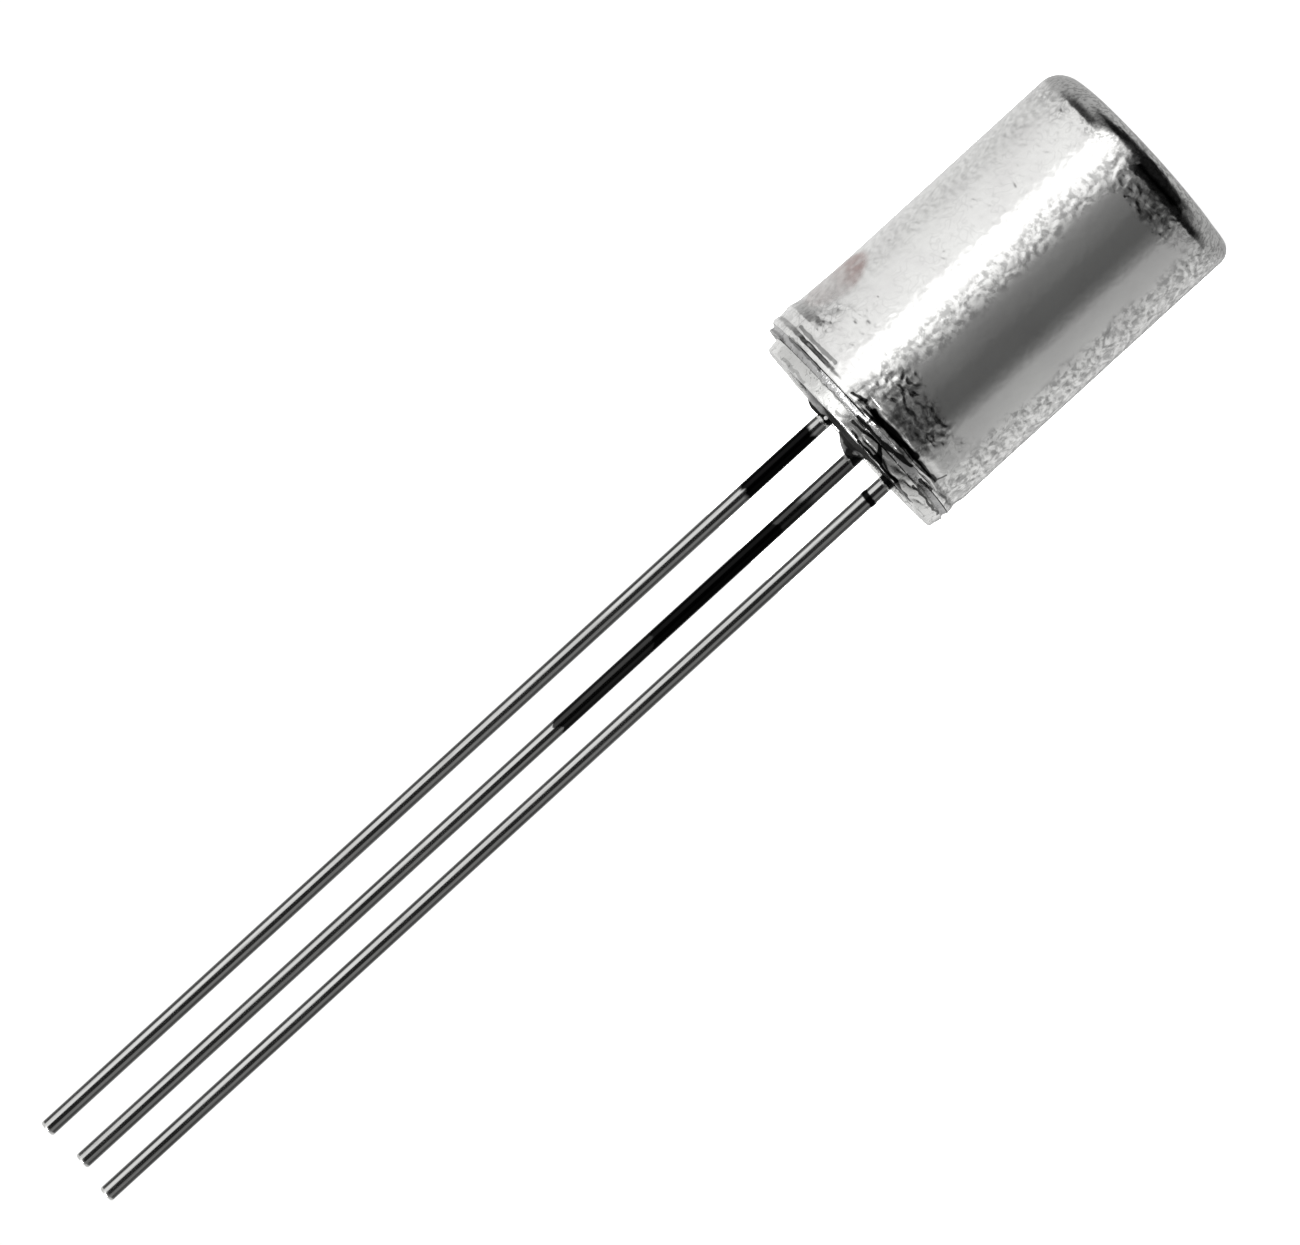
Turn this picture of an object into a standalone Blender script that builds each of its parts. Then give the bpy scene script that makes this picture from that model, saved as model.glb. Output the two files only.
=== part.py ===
"""Alloy-junction germanium transistor in a small round metal can, standing on its closed end.

Metres, +Z up. The can's closed top lies on Z = 0 and the three wires point up. The camera side of
the reference view is -Y. The collector's wire is at +X, the emitter's at -X, the base's behind.
"""

import math

import bmesh
import bpy
from mathutils import Matrix, Vector

# Can: drawn cup with a widened, grooved mouth
CAN_DIAMETER = 0.00594
CAN_LENGTH = 0.0090
CAN_WALL = 0.00025
CAN_TOP_THICKNESS = 0.0003
CAN_TOP_FILLET = 0.0005
CAN_INNER_FILLET = 0.00025
MOUTH_FLARE = 0.00006
MOUTH_LENGTH = 0.0007
FLARE_LENGTH = 0.0006
RIM_ROUND = 0.0001
GROOVE_BELOW_RIM = 0.00026
GROOVE_WIDTH = 0.00018
GROOVE_DEPTH = 0.00006

# Header: metal ring with an end flange, set a little off the can's axis
SEAM_HEIGHT = 0.00014
FLANGE_THICKNESS = 0.00036
FLANGE_RADIUS = 0.00282
FLANGE_EDGE_RADIUS = 0.00011
FLANGE_BORE_EDGE_RADIUS = 0.000075
FLANGE_CHAMFER = 0.000045
HEADER_OFFSET_X = -0.00014
COLLAR_LENGTH = 0.0012
COLLAR_WALL = 0.00025
COLLAR_ROOT = 0.00006
SEAM_RECESS = 0.00004

# Glass of the header, domed outside, with a meniscus climbing each wire
GLASS_BELOW_FLANGE = 0.00006
GLASS_ABOVE_COLLAR_END = 0.00015
GLASS_DOME_RADIUS = 0.0019
GLASS_DOME_RISE = 0.0002
MENISCUS_WIDTH = 0.00022
MENISCUS_FOOT = 0.0001
MENISCUS_LIP = 0.00003
EMITTER_MENISCUS_HEIGHT = 0.00006
BASE_MENISCUS_HEIGHT = 0.00017
COLLECTOR_MENISCUS_HEIGHT = 0.0001

# Wires: three corners of a square, on a circle beside the can's axis
LEAD_DIAMETER = 0.0004
LEAD_LENGTH = 0.0247
LEAD_END_CHAMFER = 0.00003
LEAD_CIRCLE_RADIUS = 0.00103
LEAD_CIRCLE_X = -0.00046
LEAD_TURN = math.radians(4.5)
POST_LENGTH = 0.0011
BASE_POST_LENGTH = 0.0016

# Crystal: square wafer on a windowed plate, with a bead alloyed to each face
CRYSTAL_DEPTH = 0.0031
WAFER_SIDE = 0.0018
WAFER_THICKNESS = 0.00014
WAFER_EDGE = 0.00002
TAB_THICKNESS = 0.00012
TAB_HEAD_SIDE = 0.0021
TAB_STEM_WIDTH = 0.0005
TAB_STEM_LAP = 0.0010
TAB_CORNER_RADIUS = 0.00012
WINDOW_RADIUS = 0.0006
BASE_SOLDER_THICKNESS = 0.00005
BASE_SOLDER_WIDTH = 0.0002
EMITTER_BEAD_RADIUS = 0.0003
EMITTER_BEAD_HEIGHT = 0.0002
COLLECTOR_BEAD_RADIUS = 0.0005
COLLECTOR_BEAD_HEIGHT = 0.0003
INNER_WIRE_DIAMETER = 0.00012
INNER_WIRE_GRIP = 0.0001
INNER_WIRE_LAP = 0.0006
INNER_WIRE_SLOPE = 0.0003
INNER_WIRE_BEND = 0.0003

# Fit between neighbours, and fineness of the round shapes
CLEARANCE = 0.00002
CAN_STEPS = 72
FLARE_STEPS = 4
GROOVE_STEPS = 6
DOME_STEPS = 6
MENISCUS_STEPS = 5
TAB_CORNER_STEPS = 3
LEAD_STEPS = 32
BEAD_STEPS = 28
WIRE_SIDES_RESOLUTION = 2
ARC_STEP = math.radians(18.0)
MERGE_DISTANCE = 1e-8
SHARP_ANGLE = math.radians(35.0)

# Values that follow from the sizes above
CAN_RADIUS = CAN_DIAMETER / 2
CAN_INNER_RADIUS = CAN_RADIUS - CAN_WALL
LEAD_RADIUS = LEAD_DIAMETER / 2
WIRE_RADIUS = INNER_WIRE_DIAMETER / 2
FLANGE_BOTTOM_Z = CAN_LENGTH + SEAM_HEIGHT
END_Z = FLANGE_BOTTOM_Z + FLANGE_THICKNESS
COLLAR_BOTTOM_Z = FLANGE_BOTTOM_Z - COLLAR_LENGTH
COLLAR_RADIUS = CAN_INNER_RADIUS - abs(HEADER_OFFSET_X) - CLEARANCE
COLLAR_INNER_RADIUS = COLLAR_RADIUS - COLLAR_WALL
GLASS_RADIUS = COLLAR_INNER_RADIUS - CLEARANCE
GLASS_BOTTOM_Z = COLLAR_BOTTOM_Z + GLASS_ABOVE_COLLAR_END
GLASS_TOP_Z = END_Z - GLASS_BELOW_FLANGE
CRYSTAL_Z = GLASS_BOTTOM_Z - CRYSTAL_DEPTH


def lead_place(turn):
    """The place of a wire on the wires' circle, by its angle from the -X side."""
    angle = math.pi + LEAD_TURN - turn
    x = LEAD_CIRCLE_X + LEAD_CIRCLE_RADIUS * math.cos(angle)
    y = LEAD_CIRCLE_RADIUS * math.sin(angle)
    return x, y


EMITTER_PLACE = lead_place(0.0)
BASE_PLACE = lead_place(math.pi / 2)
COLLECTOR_PLACE = lead_place(math.pi)
TAB_FACE_X = BASE_PLACE[0] + LEAD_RADIUS + CLEARANCE + TAB_THICKNESS
SOLDER_FACE_X = TAB_FACE_X + CLEARANCE + BASE_SOLDER_THICKNESS
WAFER_BACK_X = SOLDER_FACE_X + CLEARANCE
WAFER_FRONT_X = WAFER_BACK_X + WAFER_THICKNESS


def clear_scene():
    for thing in list(bpy.data.objects):
        bpy.data.objects.remove(thing)


def material(name, colour, roughness, metallic):
    made = bpy.data.materials.new(name)
    made.use_nodes = True
    shader = made.node_tree.nodes["Principled BSDF"]
    shader.inputs["Base Color"].default_value = (*colour, 1.0)
    shader.inputs["Roughness"].default_value = roughness
    shader.inputs["Metallic"].default_value = metallic
    return made


def add_object(name, bm, finish=None):
    """Put a bmesh into the scene as a named, smooth-shaded object, with its faces turned outward."""
    bmesh.ops.recalc_face_normals(bm, faces=bm.faces)
    if bm.calc_volume(signed=True) < 0:
        bmesh.ops.reverse_faces(bm, faces=bm.faces)
    mesh = bpy.data.meshes.new(name)
    bm.to_mesh(mesh)
    bm.free()
    mesh.shade_smooth()
    mesh.set_sharp_from_angle(angle=SHARP_ANGLE)
    thing = bpy.data.objects.new(name, mesh)
    bpy.context.scene.collection.objects.link(thing)
    if finish is not None:
        mesh.materials.append(finish)
    return thing


def arc(centre, radius, start, end):
    """Points of (radius, height) on an arc, its ends included."""
    count = max(2, round(abs(end - start) / ARC_STEP))
    angles = [start + (end - start) * i / count for i in range(count + 1)]
    return [(centre[0] + radius * math.cos(a), centre[1] + radius * math.sin(a)) for a in angles]


def turned(name, outline, steps, finish=None, closed=False):
    """Spin an outline of (radius, height) points about Z; closed means that it is a ring's section."""
    bm = bmesh.new()
    verts = [bm.verts.new((r, 0.0, z)) for r, z in outline]
    pairs = list(zip(verts, verts[1:]))
    if closed:
        pairs.append((verts[-1], verts[0]))
    edges = [bm.edges.new(pair) for pair in pairs]
    bmesh.ops.spin(
        bm, geom=verts + edges, axis=(0, 0, 1), cent=(0, 0, 0), angle=math.tau, steps=steps, use_merge=True
    )
    bmesh.ops.remove_doubles(bm, verts=bm.verts, dist=MERGE_DISTANCE)
    bmesh.ops.dissolve_verts(bm, verts=[vert for vert in bm.verts if centres_flat_end(vert)])
    return add_object(name, bm, finish)


def centres_flat_end(vert):
    """Whether a vertex is the middle of a flat end, which can be one face."""
    on_axis = math.hypot(vert.co.x, vert.co.y) < MERGE_DISTANCE
    rises = [abs(edge.other_vert(vert).co.z - vert.co.z) for edge in vert.link_edges]
    return on_axis and max(rises) < MERGE_DISTANCE


def lying_along_x(thing, x, y, z):
    """Turn a piece made about Z so that its +Z points along +X, and place it."""
    thing.rotation_euler = (0.0, math.pi / 2, 0.0)
    thing.location = (x, y, z)
    return thing


def combine(target, tool, operation, solver="EXACT"):
    """Cut a tool out of a piece, or join it on; the tool itself isn't part of the model."""
    tool.hide_render = True
    tool.display_type = "WIRE"
    change = target.modifiers.new(tool.name, "BOOLEAN")
    change.operation = operation
    change.solver = solver
    change.object = tool


def pin_outline(radius, low, high, chamfer=0.0):
    """The outline of a solid pin from its lower end to its upper end."""
    return [
        (0.0, low),
        (radius - chamfer, low),
        (radius, low + chamfer),
        (radius, high - chamfer),
        (radius - chamfer, high),
        (0.0, high),
    ]


def plain_pin(name, radius, low, high, steps):
    return turned(name, [(0.0, low), (radius, low), (radius, high), (0.0, high)], steps)


def make_can(finish):
    """Cup with a filleted closed end, and a mouth that is widened, grooved and rounded at its rim."""
    fillet = CAN_TOP_FILLET
    inner_fillet = CAN_INNER_FILLET
    mouth_radius = CAN_RADIUS + MOUTH_FLARE
    flare_top_z = CAN_LENGTH - MOUTH_LENGTH
    groove_z = CAN_LENGTH - GROOVE_BELOW_RIM
    outline = [(0.0, 0.0)]
    outline += arc((CAN_RADIUS - fillet, fillet), fillet, -math.pi / 2, 0.0)
    outline += flare_points(CAN_RADIUS, mouth_radius, flare_top_z)
    outline += groove_points(mouth_radius, groove_z)
    outline += arc((mouth_radius - RIM_ROUND, CAN_LENGTH - RIM_ROUND), RIM_ROUND, 0.0, math.pi / 2)
    outline += [(mouth_radius - CAN_WALL, CAN_LENGTH)]
    outline += reversed(flare_points(CAN_INNER_RADIUS, mouth_radius - CAN_WALL, flare_top_z))
    inner_centre = (CAN_INNER_RADIUS - inner_fillet, CAN_TOP_THICKNESS + inner_fillet)
    outline += arc(inner_centre, inner_fillet, 0.0, -math.pi / 2)
    outline += [(0.0, CAN_TOP_THICKNESS)]
    return turned("can", outline, CAN_STEPS, finish)


def flare_points(low_radius, high_radius, high_z):
    """A smooth step from one radius to a wider one, over the flare's length."""
    points = []
    for i in range(FLARE_STEPS + 1):
        share = i / FLARE_STEPS
        eased = (1 - math.cos(math.pi * share)) / 2
        points.append((low_radius + (high_radius - low_radius) * eased, high_z + FLARE_LENGTH * (share - 1)))
    return points


def groove_points(radius, middle_z):
    """A rolled groove: one smooth dip in the wall."""
    points = []
    for i in range(GROOVE_STEPS + 1):
        share = i / GROOVE_STEPS
        dip = GROOVE_DEPTH * math.sin(math.pi * share) ** 2
        points.append((radius - dip, middle_z + GROOVE_WIDTH * (share - 0.5)))
    return points


def make_header_ring(finish):
    """Collar inside the can's mouth, with a flange at its outer end."""
    edge = FLANGE_EDGE_RADIUS
    inner_edge = FLANGE_BORE_EDGE_RADIUS
    outline = [(COLLAR_INNER_RADIUS, COLLAR_BOTTOM_Z), (COLLAR_RADIUS, COLLAR_BOTTOM_Z)]
    root_centre = (COLLAR_RADIUS + COLLAR_ROOT, FLANGE_BOTTOM_Z - COLLAR_ROOT)
    outline += arc(root_centre, COLLAR_ROOT, math.pi, math.pi / 2)
    outline.append((FLANGE_RADIUS - FLANGE_CHAMFER, FLANGE_BOTTOM_Z))
    outline.append((FLANGE_RADIUS, FLANGE_BOTTOM_Z + FLANGE_CHAMFER))
    outline += arc((FLANGE_RADIUS - edge, END_Z - edge), edge, 0.0, math.pi / 2)
    inner_centre = (COLLAR_INNER_RADIUS + inner_edge, END_Z - inner_edge)
    outline += arc(inner_centre, inner_edge, math.pi / 2, math.pi)
    ring = turned("header_ring", outline, CAN_STEPS, finish, closed=True)
    ring.location.x = HEADER_OFFSET_X
    return ring


def make_seam_solder(finish):
    """Solder in the seam: round with the can outside, cut to the off-centre collar inside."""
    low = CAN_LENGTH + CLEARANCE
    high = FLANGE_BOTTOM_Z - CLEARANCE
    outer = CAN_RADIUS + MOUTH_FLARE - SEAM_RECESS
    half = (high - low) / 2
    outline = [(0.0, low), *arc((outer - half, low + half), half, -math.pi / 2, math.pi / 2), (0.0, high)]
    solder = turned("seam_solder", outline, CAN_STEPS, finish)
    bore_radius = COLLAR_RADIUS + COLLAR_ROOT + CLEARANCE
    bore = plain_pin("seam_solder_bore", bore_radius, low - SEAM_HEIGHT, END_Z, CAN_STEPS)
    bore.location.x = HEADER_OFFSET_X
    combine(solder, bore, "DIFFERENCE")
    return solder


def make_glass_seal(finish):
    """Glass disc with a low dome, a meniscus round each wire, and the wires' three bores."""
    outline = [(0.0, GLASS_BOTTOM_Z), (GLASS_RADIUS, GLASS_BOTTOM_Z), (GLASS_RADIUS, GLASS_TOP_Z)]
    for i in range(DOME_STEPS + 1):
        share = 1 - i / DOME_STEPS
        rise = GLASS_DOME_RISE * (1 + math.cos(math.pi * share)) / 2
        outline.append((GLASS_DOME_RADIUS * share, GLASS_TOP_Z + rise))
    glass = turned("glass_seal", outline, CAN_STEPS, finish)
    glass.location.x = HEADER_OFFSET_X
    climbs = (
        ("emitter", EMITTER_PLACE, EMITTER_MENISCUS_HEIGHT),
        ("base", BASE_PLACE, BASE_MENISCUS_HEIGHT),
        ("collector", COLLECTOR_PLACE, COLLECTOR_MENISCUS_HEIGHT),
    )
    for role, place, height in climbs:
        meniscus = turned(f"{role}_meniscus", meniscus_outline(place, height), LEAD_STEPS)
        meniscus.location = (*place, 0.0)
        combine(glass, meniscus, "UNION", "MANIFOLD")
    for role, place, height in climbs:
        low = GLASS_BOTTOM_Z - COLLAR_WALL
        high = dome_height(place) + height + COLLAR_WALL
        bore = plain_pin(f"{role}_bore", LEAD_RADIUS + CLEARANCE, low, high, LEAD_STEPS)
        bore.location = (*place, 0.0)
        combine(glass, bore, "DIFFERENCE", "MANIFOLD")
    return glass


def dome_height(place):
    """The height of the glass's top at a place, from the dome alone."""
    away = math.hypot(place[0] - HEADER_OFFSET_X, place[1])
    share = min(1.0, away / GLASS_DOME_RADIUS)
    return GLASS_TOP_Z + GLASS_DOME_RISE * (1 + math.cos(math.pi * share)) / 2


def meniscus_outline(place, height):
    """A hollow cone of glass that climbs a wire, from its foot inside the disc to its thin lip."""
    inner = LEAD_RADIUS + CLEARANCE + MENISCUS_LIP
    top = dome_height(place) + height
    under = (top + GLASS_BOTTOM_Z) / 2
    points = [(0.0, under), (inner + MENISCUS_WIDTH, under)]
    for i in range(MENISCUS_STEPS + 1):
        share = i / MENISCUS_STEPS
        angle = math.pi / 2 * share
        out = inner + MENISCUS_WIDTH * (1 - math.sin(angle))
        points.append((out, top - height * math.cos(angle) - MENISCUS_FOOT * (1 - share)))
    return [*points, (0.0, top)]


def make_lead(name, place, post_length, finish):
    """A straight wire, from its inner end under the glass to its square-cut tip."""
    outline = pin_outline(LEAD_RADIUS, GLASS_BOTTOM_Z - post_length, END_Z + LEAD_LENGTH, LEAD_END_CHAMFER)
    lead = turned(name, outline, LEAD_STEPS, finish)
    lead.location = (*place, 0.0)
    return lead


def make_base_tab(finish):
    """Plate across the can, with a window behind the wafer and a stem that laps the base's wire."""
    half = TAB_HEAD_SIDE / 2
    stem_low = BASE_PLACE[1] - TAB_STEM_WIDTH / 2
    stem_high = BASE_PLACE[1] + TAB_STEM_WIDTH / 2
    stem_end = GLASS_BOTTOM_Z - BASE_POST_LENGTH + TAB_STEM_LAP
    corners = [
        (-half, CRYSTAL_Z - half),
        (stem_high, CRYSTAL_Z - half),
        (stem_high, stem_end),
        (stem_low, stem_end),
        (stem_low, CRYSTAL_Z + half),
        (-half, CRYSTAL_Z + half),
    ]
    bm = bmesh.new()
    face = bm.faces.new([bm.verts.new((TAB_FACE_X, y, z)) for y, z in corners])
    side = bmesh.ops.extrude_face_region(bm, geom=[face])
    moved = [part for part in side["geom"] if isinstance(part, bmesh.types.BMVert)]
    bmesh.ops.translate(bm, verts=moved, vec=(-TAB_THICKNESS, 0.0, 0.0))
    across = [edge for edge in bm.edges if abs(edge.verts[0].co.x - edge.verts[1].co.x) > TAB_THICKNESS / 2]
    bmesh.ops.bevel(bm, geom=across, offset=TAB_CORNER_RADIUS, segments=TAB_CORNER_STEPS, affect="EDGES")
    tab = add_object("base_tab", bm, finish)
    window = plain_pin("tab_window", WINDOW_RADIUS, -TAB_THICKNESS, TAB_THICKNESS, CAN_STEPS // 2)
    lying_along_x(window, TAB_FACE_X - TAB_THICKNESS / 2, 0.0, CRYSTAL_Z)
    combine(tab, window, "DIFFERENCE")
    return tab


def make_base_solder(finish):
    """Flat ring of solder between the plate and the wafer, round the window."""
    inner = WINDOW_RADIUS + CLEARANCE
    outer = inner + BASE_SOLDER_WIDTH
    high = BASE_SOLDER_THICKNESS
    outline = [(inner, 0.0), (outer, 0.0), (outer, high), (inner, high)]
    ring = turned("base_solder", outline, CAN_STEPS // 2, finish, closed=True)
    return lying_along_x(ring, SOLDER_FACE_X - BASE_SOLDER_THICKNESS, 0.0, CRYSTAL_Z)


def make_wafer(finish):
    """Square slice of germanium with slightly eased edges."""
    bm = bmesh.new()
    size = Matrix.Diagonal((WAFER_THICKNESS, WAFER_SIDE, WAFER_SIDE, 1.0))
    bmesh.ops.create_cube(bm, size=1.0, matrix=size)
    bmesh.ops.bevel(bm, geom=bm.edges[:], offset=WAFER_EDGE, segments=1, affect="EDGES")
    wafer = add_object("germanium_wafer", bm, finish)
    wafer.location = (WAFER_BACK_X + WAFER_THICKNESS / 2, 0.0, CRYSTAL_Z)
    return wafer


def make_bead(name, radius, height, face_x, side, finish):
    """A cap of indium on one face of the wafer, with a socket for its wire; side is +1 or -1 along X."""
    ball = (radius * radius + height * height) / (2 * height)
    low = math.asin(1 - height / ball)
    outline = [(0.0, 0.0), *arc((0.0, height - ball), ball, low, math.pi / 2)]
    outline[-1] = (0.0, height)
    bead = turned(name, outline, BEAD_STEPS, finish)
    lying_along_x(bead, face_x + side * CLEARANCE, 0.0, CRYSTAL_Z)
    socket = plain_pin(
        f"{name}_socket",
        WIRE_RADIUS + CLEARANCE,
        height - INNER_WIRE_GRIP - CLEARANCE,
        height + INNER_WIRE_GRIP,
        BEAD_STEPS // 2,
    )
    lying_along_x(socket, face_x + side * CLEARANCE, 0.0, CRYSTAL_Z)
    if side < 0:
        bead.rotation_euler.y = -math.pi / 2
        socket.rotation_euler.y = -math.pi / 2
    combine(bead, socket, "DIFFERENCE")
    return bead


def rounded_route(corners, radius):
    """The points of a route whose inner corners are bent to a radius."""
    points = [corners[0]]
    for before, corner, after in zip(corners, corners[1:], corners[2:]):
        back = (before - corner).normalized()
        ahead = (after - corner).normalized()
        half_angle = back.angle(ahead) / 2
        reach = radius / math.tan(half_angle)
        middle = (back + ahead).normalized()
        centre = corner + middle * (radius / math.sin(half_angle))
        inward = (corner + back * reach - centre).normalized()
        turn = math.pi - 2 * half_angle
        count = max(2, round(turn / ARC_STEP))
        for i in range(count + 1):
            angle = turn * i / count
            points.append(centre + radius * (inward * math.cos(angle) - back * math.sin(angle)))
    return [*points, corners[-1]]


def make_inner_wire(name, bead_height, face_x, side, place, finish):
    """Thin wire from the socket in a bead, out and up, to lie beside its lead's inner end."""
    start_x = face_x + side * (CLEARANCE + bead_height - INNER_WIRE_GRIP)
    beside = place[1] - LEAD_RADIUS - CLEARANCE - WIRE_RADIUS
    post_end = GLASS_BOTTOM_Z - POST_LENGTH
    corners = [
        Vector((start_x, 0.0, CRYSTAL_Z)),
        Vector((place[0], 0.0, CRYSTAL_Z)),
        Vector((place[0], beside, post_end - INNER_WIRE_SLOPE)),
        Vector((place[0], beside, post_end + INNER_WIRE_LAP)),
    ]
    curve = bpy.data.curves.new(name, "CURVE")
    curve.dimensions = "3D"
    curve.bevel_depth = WIRE_RADIUS
    curve.bevel_resolution = WIRE_SIDES_RESOLUTION
    curve.use_fill_caps = True
    route = rounded_route(corners, INNER_WIRE_BEND)
    spline = curve.splines.new("POLY")
    spline.points.add(len(route) - 1)
    for knot, point in zip(spline.points, route):
        knot.co = (*point, 1.0)
    curve.materials.append(finish)
    wire = bpy.data.objects.new(name, curve)
    bpy.context.scene.collection.objects.link(wire)
    return wire


def main():
    clear_scene()
    plated = material("plated_can", (0.72, 0.72, 0.71), 0.32, 1.0)
    ring_metal = material("ring_metal", (0.60, 0.60, 0.59), 0.38, 1.0)
    solder = material("solder", (0.42, 0.42, 0.42), 0.45, 1.0)
    glass = material("seal_glass", (0.10, 0.11, 0.11), 0.15, 0.0)
    lead_metal = material("lead_metal", (0.50, 0.50, 0.49), 0.30, 1.0)
    nickel = material("nickel", (0.66, 0.63, 0.58), 0.30, 1.0)
    germanium = material("germanium", (0.30, 0.31, 0.33), 0.25, 1.0)
    indium = material("indium", (0.70, 0.70, 0.72), 0.40, 1.0)

    make_can(plated)
    make_header_ring(ring_metal)
    make_seam_solder(solder)
    make_glass_seal(glass)
    make_lead("emitter_lead", EMITTER_PLACE, POST_LENGTH, lead_metal)
    make_lead("base_lead", BASE_PLACE, BASE_POST_LENGTH, lead_metal)
    make_lead("collector_lead", COLLECTOR_PLACE, POST_LENGTH, lead_metal)
    make_base_tab(nickel)
    make_base_solder(solder)
    make_wafer(germanium)
    make_bead("emitter_bead", EMITTER_BEAD_RADIUS, EMITTER_BEAD_HEIGHT, WAFER_BACK_X, -1, indium)
    make_bead("collector_bead", COLLECTOR_BEAD_RADIUS, COLLECTOR_BEAD_HEIGHT, WAFER_FRONT_X, 1, indium)
    make_inner_wire("emitter_wire", EMITTER_BEAD_HEIGHT, WAFER_BACK_X, -1, EMITTER_PLACE, nickel)
    make_inner_wire("collector_wire", COLLECTOR_BEAD_HEIGHT, WAFER_FRONT_X, 1, COLLECTOR_PLACE, nickel)


main()
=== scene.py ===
"""Looks of a germanium transistor that stands on its closed end, with its three wires up.

The pieces are made in millimetres and put into the scene in metres. Azimuths of the can go round
its axis: 0 faces the camera (-Y), 90 degrees faces -X and -90 degrees faces +X.
"""

import math

import bpy
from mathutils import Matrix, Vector, noise


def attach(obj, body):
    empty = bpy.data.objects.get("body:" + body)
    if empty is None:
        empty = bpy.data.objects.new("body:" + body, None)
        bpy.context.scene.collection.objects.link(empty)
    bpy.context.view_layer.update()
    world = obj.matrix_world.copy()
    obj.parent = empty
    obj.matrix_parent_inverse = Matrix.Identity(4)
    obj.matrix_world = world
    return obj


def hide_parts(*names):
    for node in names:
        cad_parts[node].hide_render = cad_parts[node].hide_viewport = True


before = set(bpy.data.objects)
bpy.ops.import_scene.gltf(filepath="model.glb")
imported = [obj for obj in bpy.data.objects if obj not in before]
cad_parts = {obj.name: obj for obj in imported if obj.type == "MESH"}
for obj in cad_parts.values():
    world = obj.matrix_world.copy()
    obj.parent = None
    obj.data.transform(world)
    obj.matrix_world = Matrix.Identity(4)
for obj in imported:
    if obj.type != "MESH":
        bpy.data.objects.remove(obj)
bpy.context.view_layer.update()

MM = 0.001

# Camera: long lens, rolled so that the can points to the upper right
CAMERA_PLACE = (-0.0001877, -0.1842, 0.015843)
CAMERA_ROLL = 132.4
CAMERA_LENS = 218.8
CAMERA_SENSOR = 36.0
CLIP_NEAR = 0.01
CLIP_FAR = 3.0

# Stage
FLOOR_RADIUS = 0.9
BACKDROP_RADIUS = 1.0
BACKDROP_LIGHT = 1.05
FLOOR_COLUMNS = 128
FLOOR_COLOURS = ((0.93, 0.93, 0.92, 1.0), (0.91, 0.91, 0.90, 1.0))
FLOOR_CLOUD = 40.0
FLOOR_GLOW = 0.9
SUN_STRENGTH = 2.5
SUN_ANGLE = 25.0
LAMP_PLACE = (0.0, 0.0, 0.3)
ROOM_COLOUR = (1.0, 1.0, 0.995, 1.0)

# Light round the can: (azimuth in degrees, radiance)
ROOM_BANDS = (
    (-180.0, 0.5), (-168.0, 0.9), (-150.0, 0.95), (-110.0, 0.88), (-75.0, 1.02), (-50.0, 1.08),
    (-45.0, 1.5), (-21.0, 1.5), (-16.5, 1.42), (-11.0, 0.96), (-4.0, 0.45), (1.0, 0.3),
    (4.0, 0.262), (12.0, 0.205), (24.0, 0.165), (32.0, 0.125), (50.0, 0.112), (58.0, 0.16),
    (64.0, 0.25), (72.0, 0.42), (98.0, 0.50), (112.0, 0.72), (130.0, 0.88), (154.0, 0.92),
    (165.0, 0.42), (180.0, 0.5),
)
ROOM_PEAK = 2.0

# The same light above the horizon, which turns into a plain ceiling further up; an edge is soft,
# (from, to), in degrees of elevation
TOP_BANDS = (
    (-180.0, 0.88), (-60.0, 0.95), (-44.0, 1.5), (-24.0, 1.4), (-10.0, 0.55), (0.0, 0.36),
    (58.0, 0.34), (70.0, 0.62), (100.0, 0.78), (180.0, 0.88),
)
TOP_EDGE = (-1.0, 20.0)
CEILING_EDGE = (48.0, 70.0)
CEILING_LIGHT = 0.92

# The same light just below the horizon, and further down
LOW_BANDS = (
    (-180.0, 0.12), (-130.0, 0.05), (-64.0, 0.06), (-54.0, 0.5), (-46.0, 1.6), (-22.0, 1.4),
    (-13.0, 0.08), (-3.0, 0.01), (60.0, 0.01), (110.0, 0.015), (126.0, 0.06), (180.0, 0.12),
)
LOW_EDGE = (-8.0, -13.5)
TABLE_BANDS = (
    (-180.0, 0.55), (-100.0, 0.45), (-78.0, 0.30), (-60.0, 0.14), (-52.0, 0.5), (-44.0, 1.5),
    (-22.0, 1.2), (-12.0, 0.05), (-3.0, 0.0), (66.0, 0.0), (76.0, 0.05), (90.0, 0.24),
    (116.0, 0.38), (150.0, 0.5), (180.0, 0.55),
)
TABLE_EDGE = (-23.0, -41.0)

# The table straight below the can, and beyond it; a soft edge is (from, to)
HORIZON = (0.0, -10.0)
UNDER_REACH = (0.73, 0.51)
UNDER_LIGHT = 0.012
UNDER_EDGES = ((-130.0, -100.0), (140.0, 110.0))
AWAY_EDGE = (-0.05, 0.6)
AWAY_LIGHT = 0.5
# Straight ahead the dark table reaches further out: edges across, how far, end
AHEAD_EDGES = ((-0.26, -0.18), (0.37, 0.27))
AHEAD_SHIFT = 0.28
AHEAD_END = (0.08, -0.08)

# Light round the wires: (azimuth in degrees, radiance)
WIRE_BANDS = (
    (-180.0, 0.5), (-150.0, 0.4), (-112.0, 0.08), (-84.0, 0.08), (-68.0, 1.08), (-28.0, 1.08),
    (-17.0, 0.02), (28.0, 0.02), (40.0, 0.24), (66.0, 0.24), (80.0, 0.09), (112.0, 0.08),
    (150.0, 0.4), (180.0, 0.5),
)
SLEEVE_RADIUS = 0.5
SLEEVE_GAP = 0.16
SLEEVE_STEPS = 64

# Can, in millimetres
CAN_RADIUS = 2.97
CAN_LENGTH = 9.0
CAN_WALL = 0.25
CAN_TOP = 0.3
CAN_FILLET = 0.5
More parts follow.
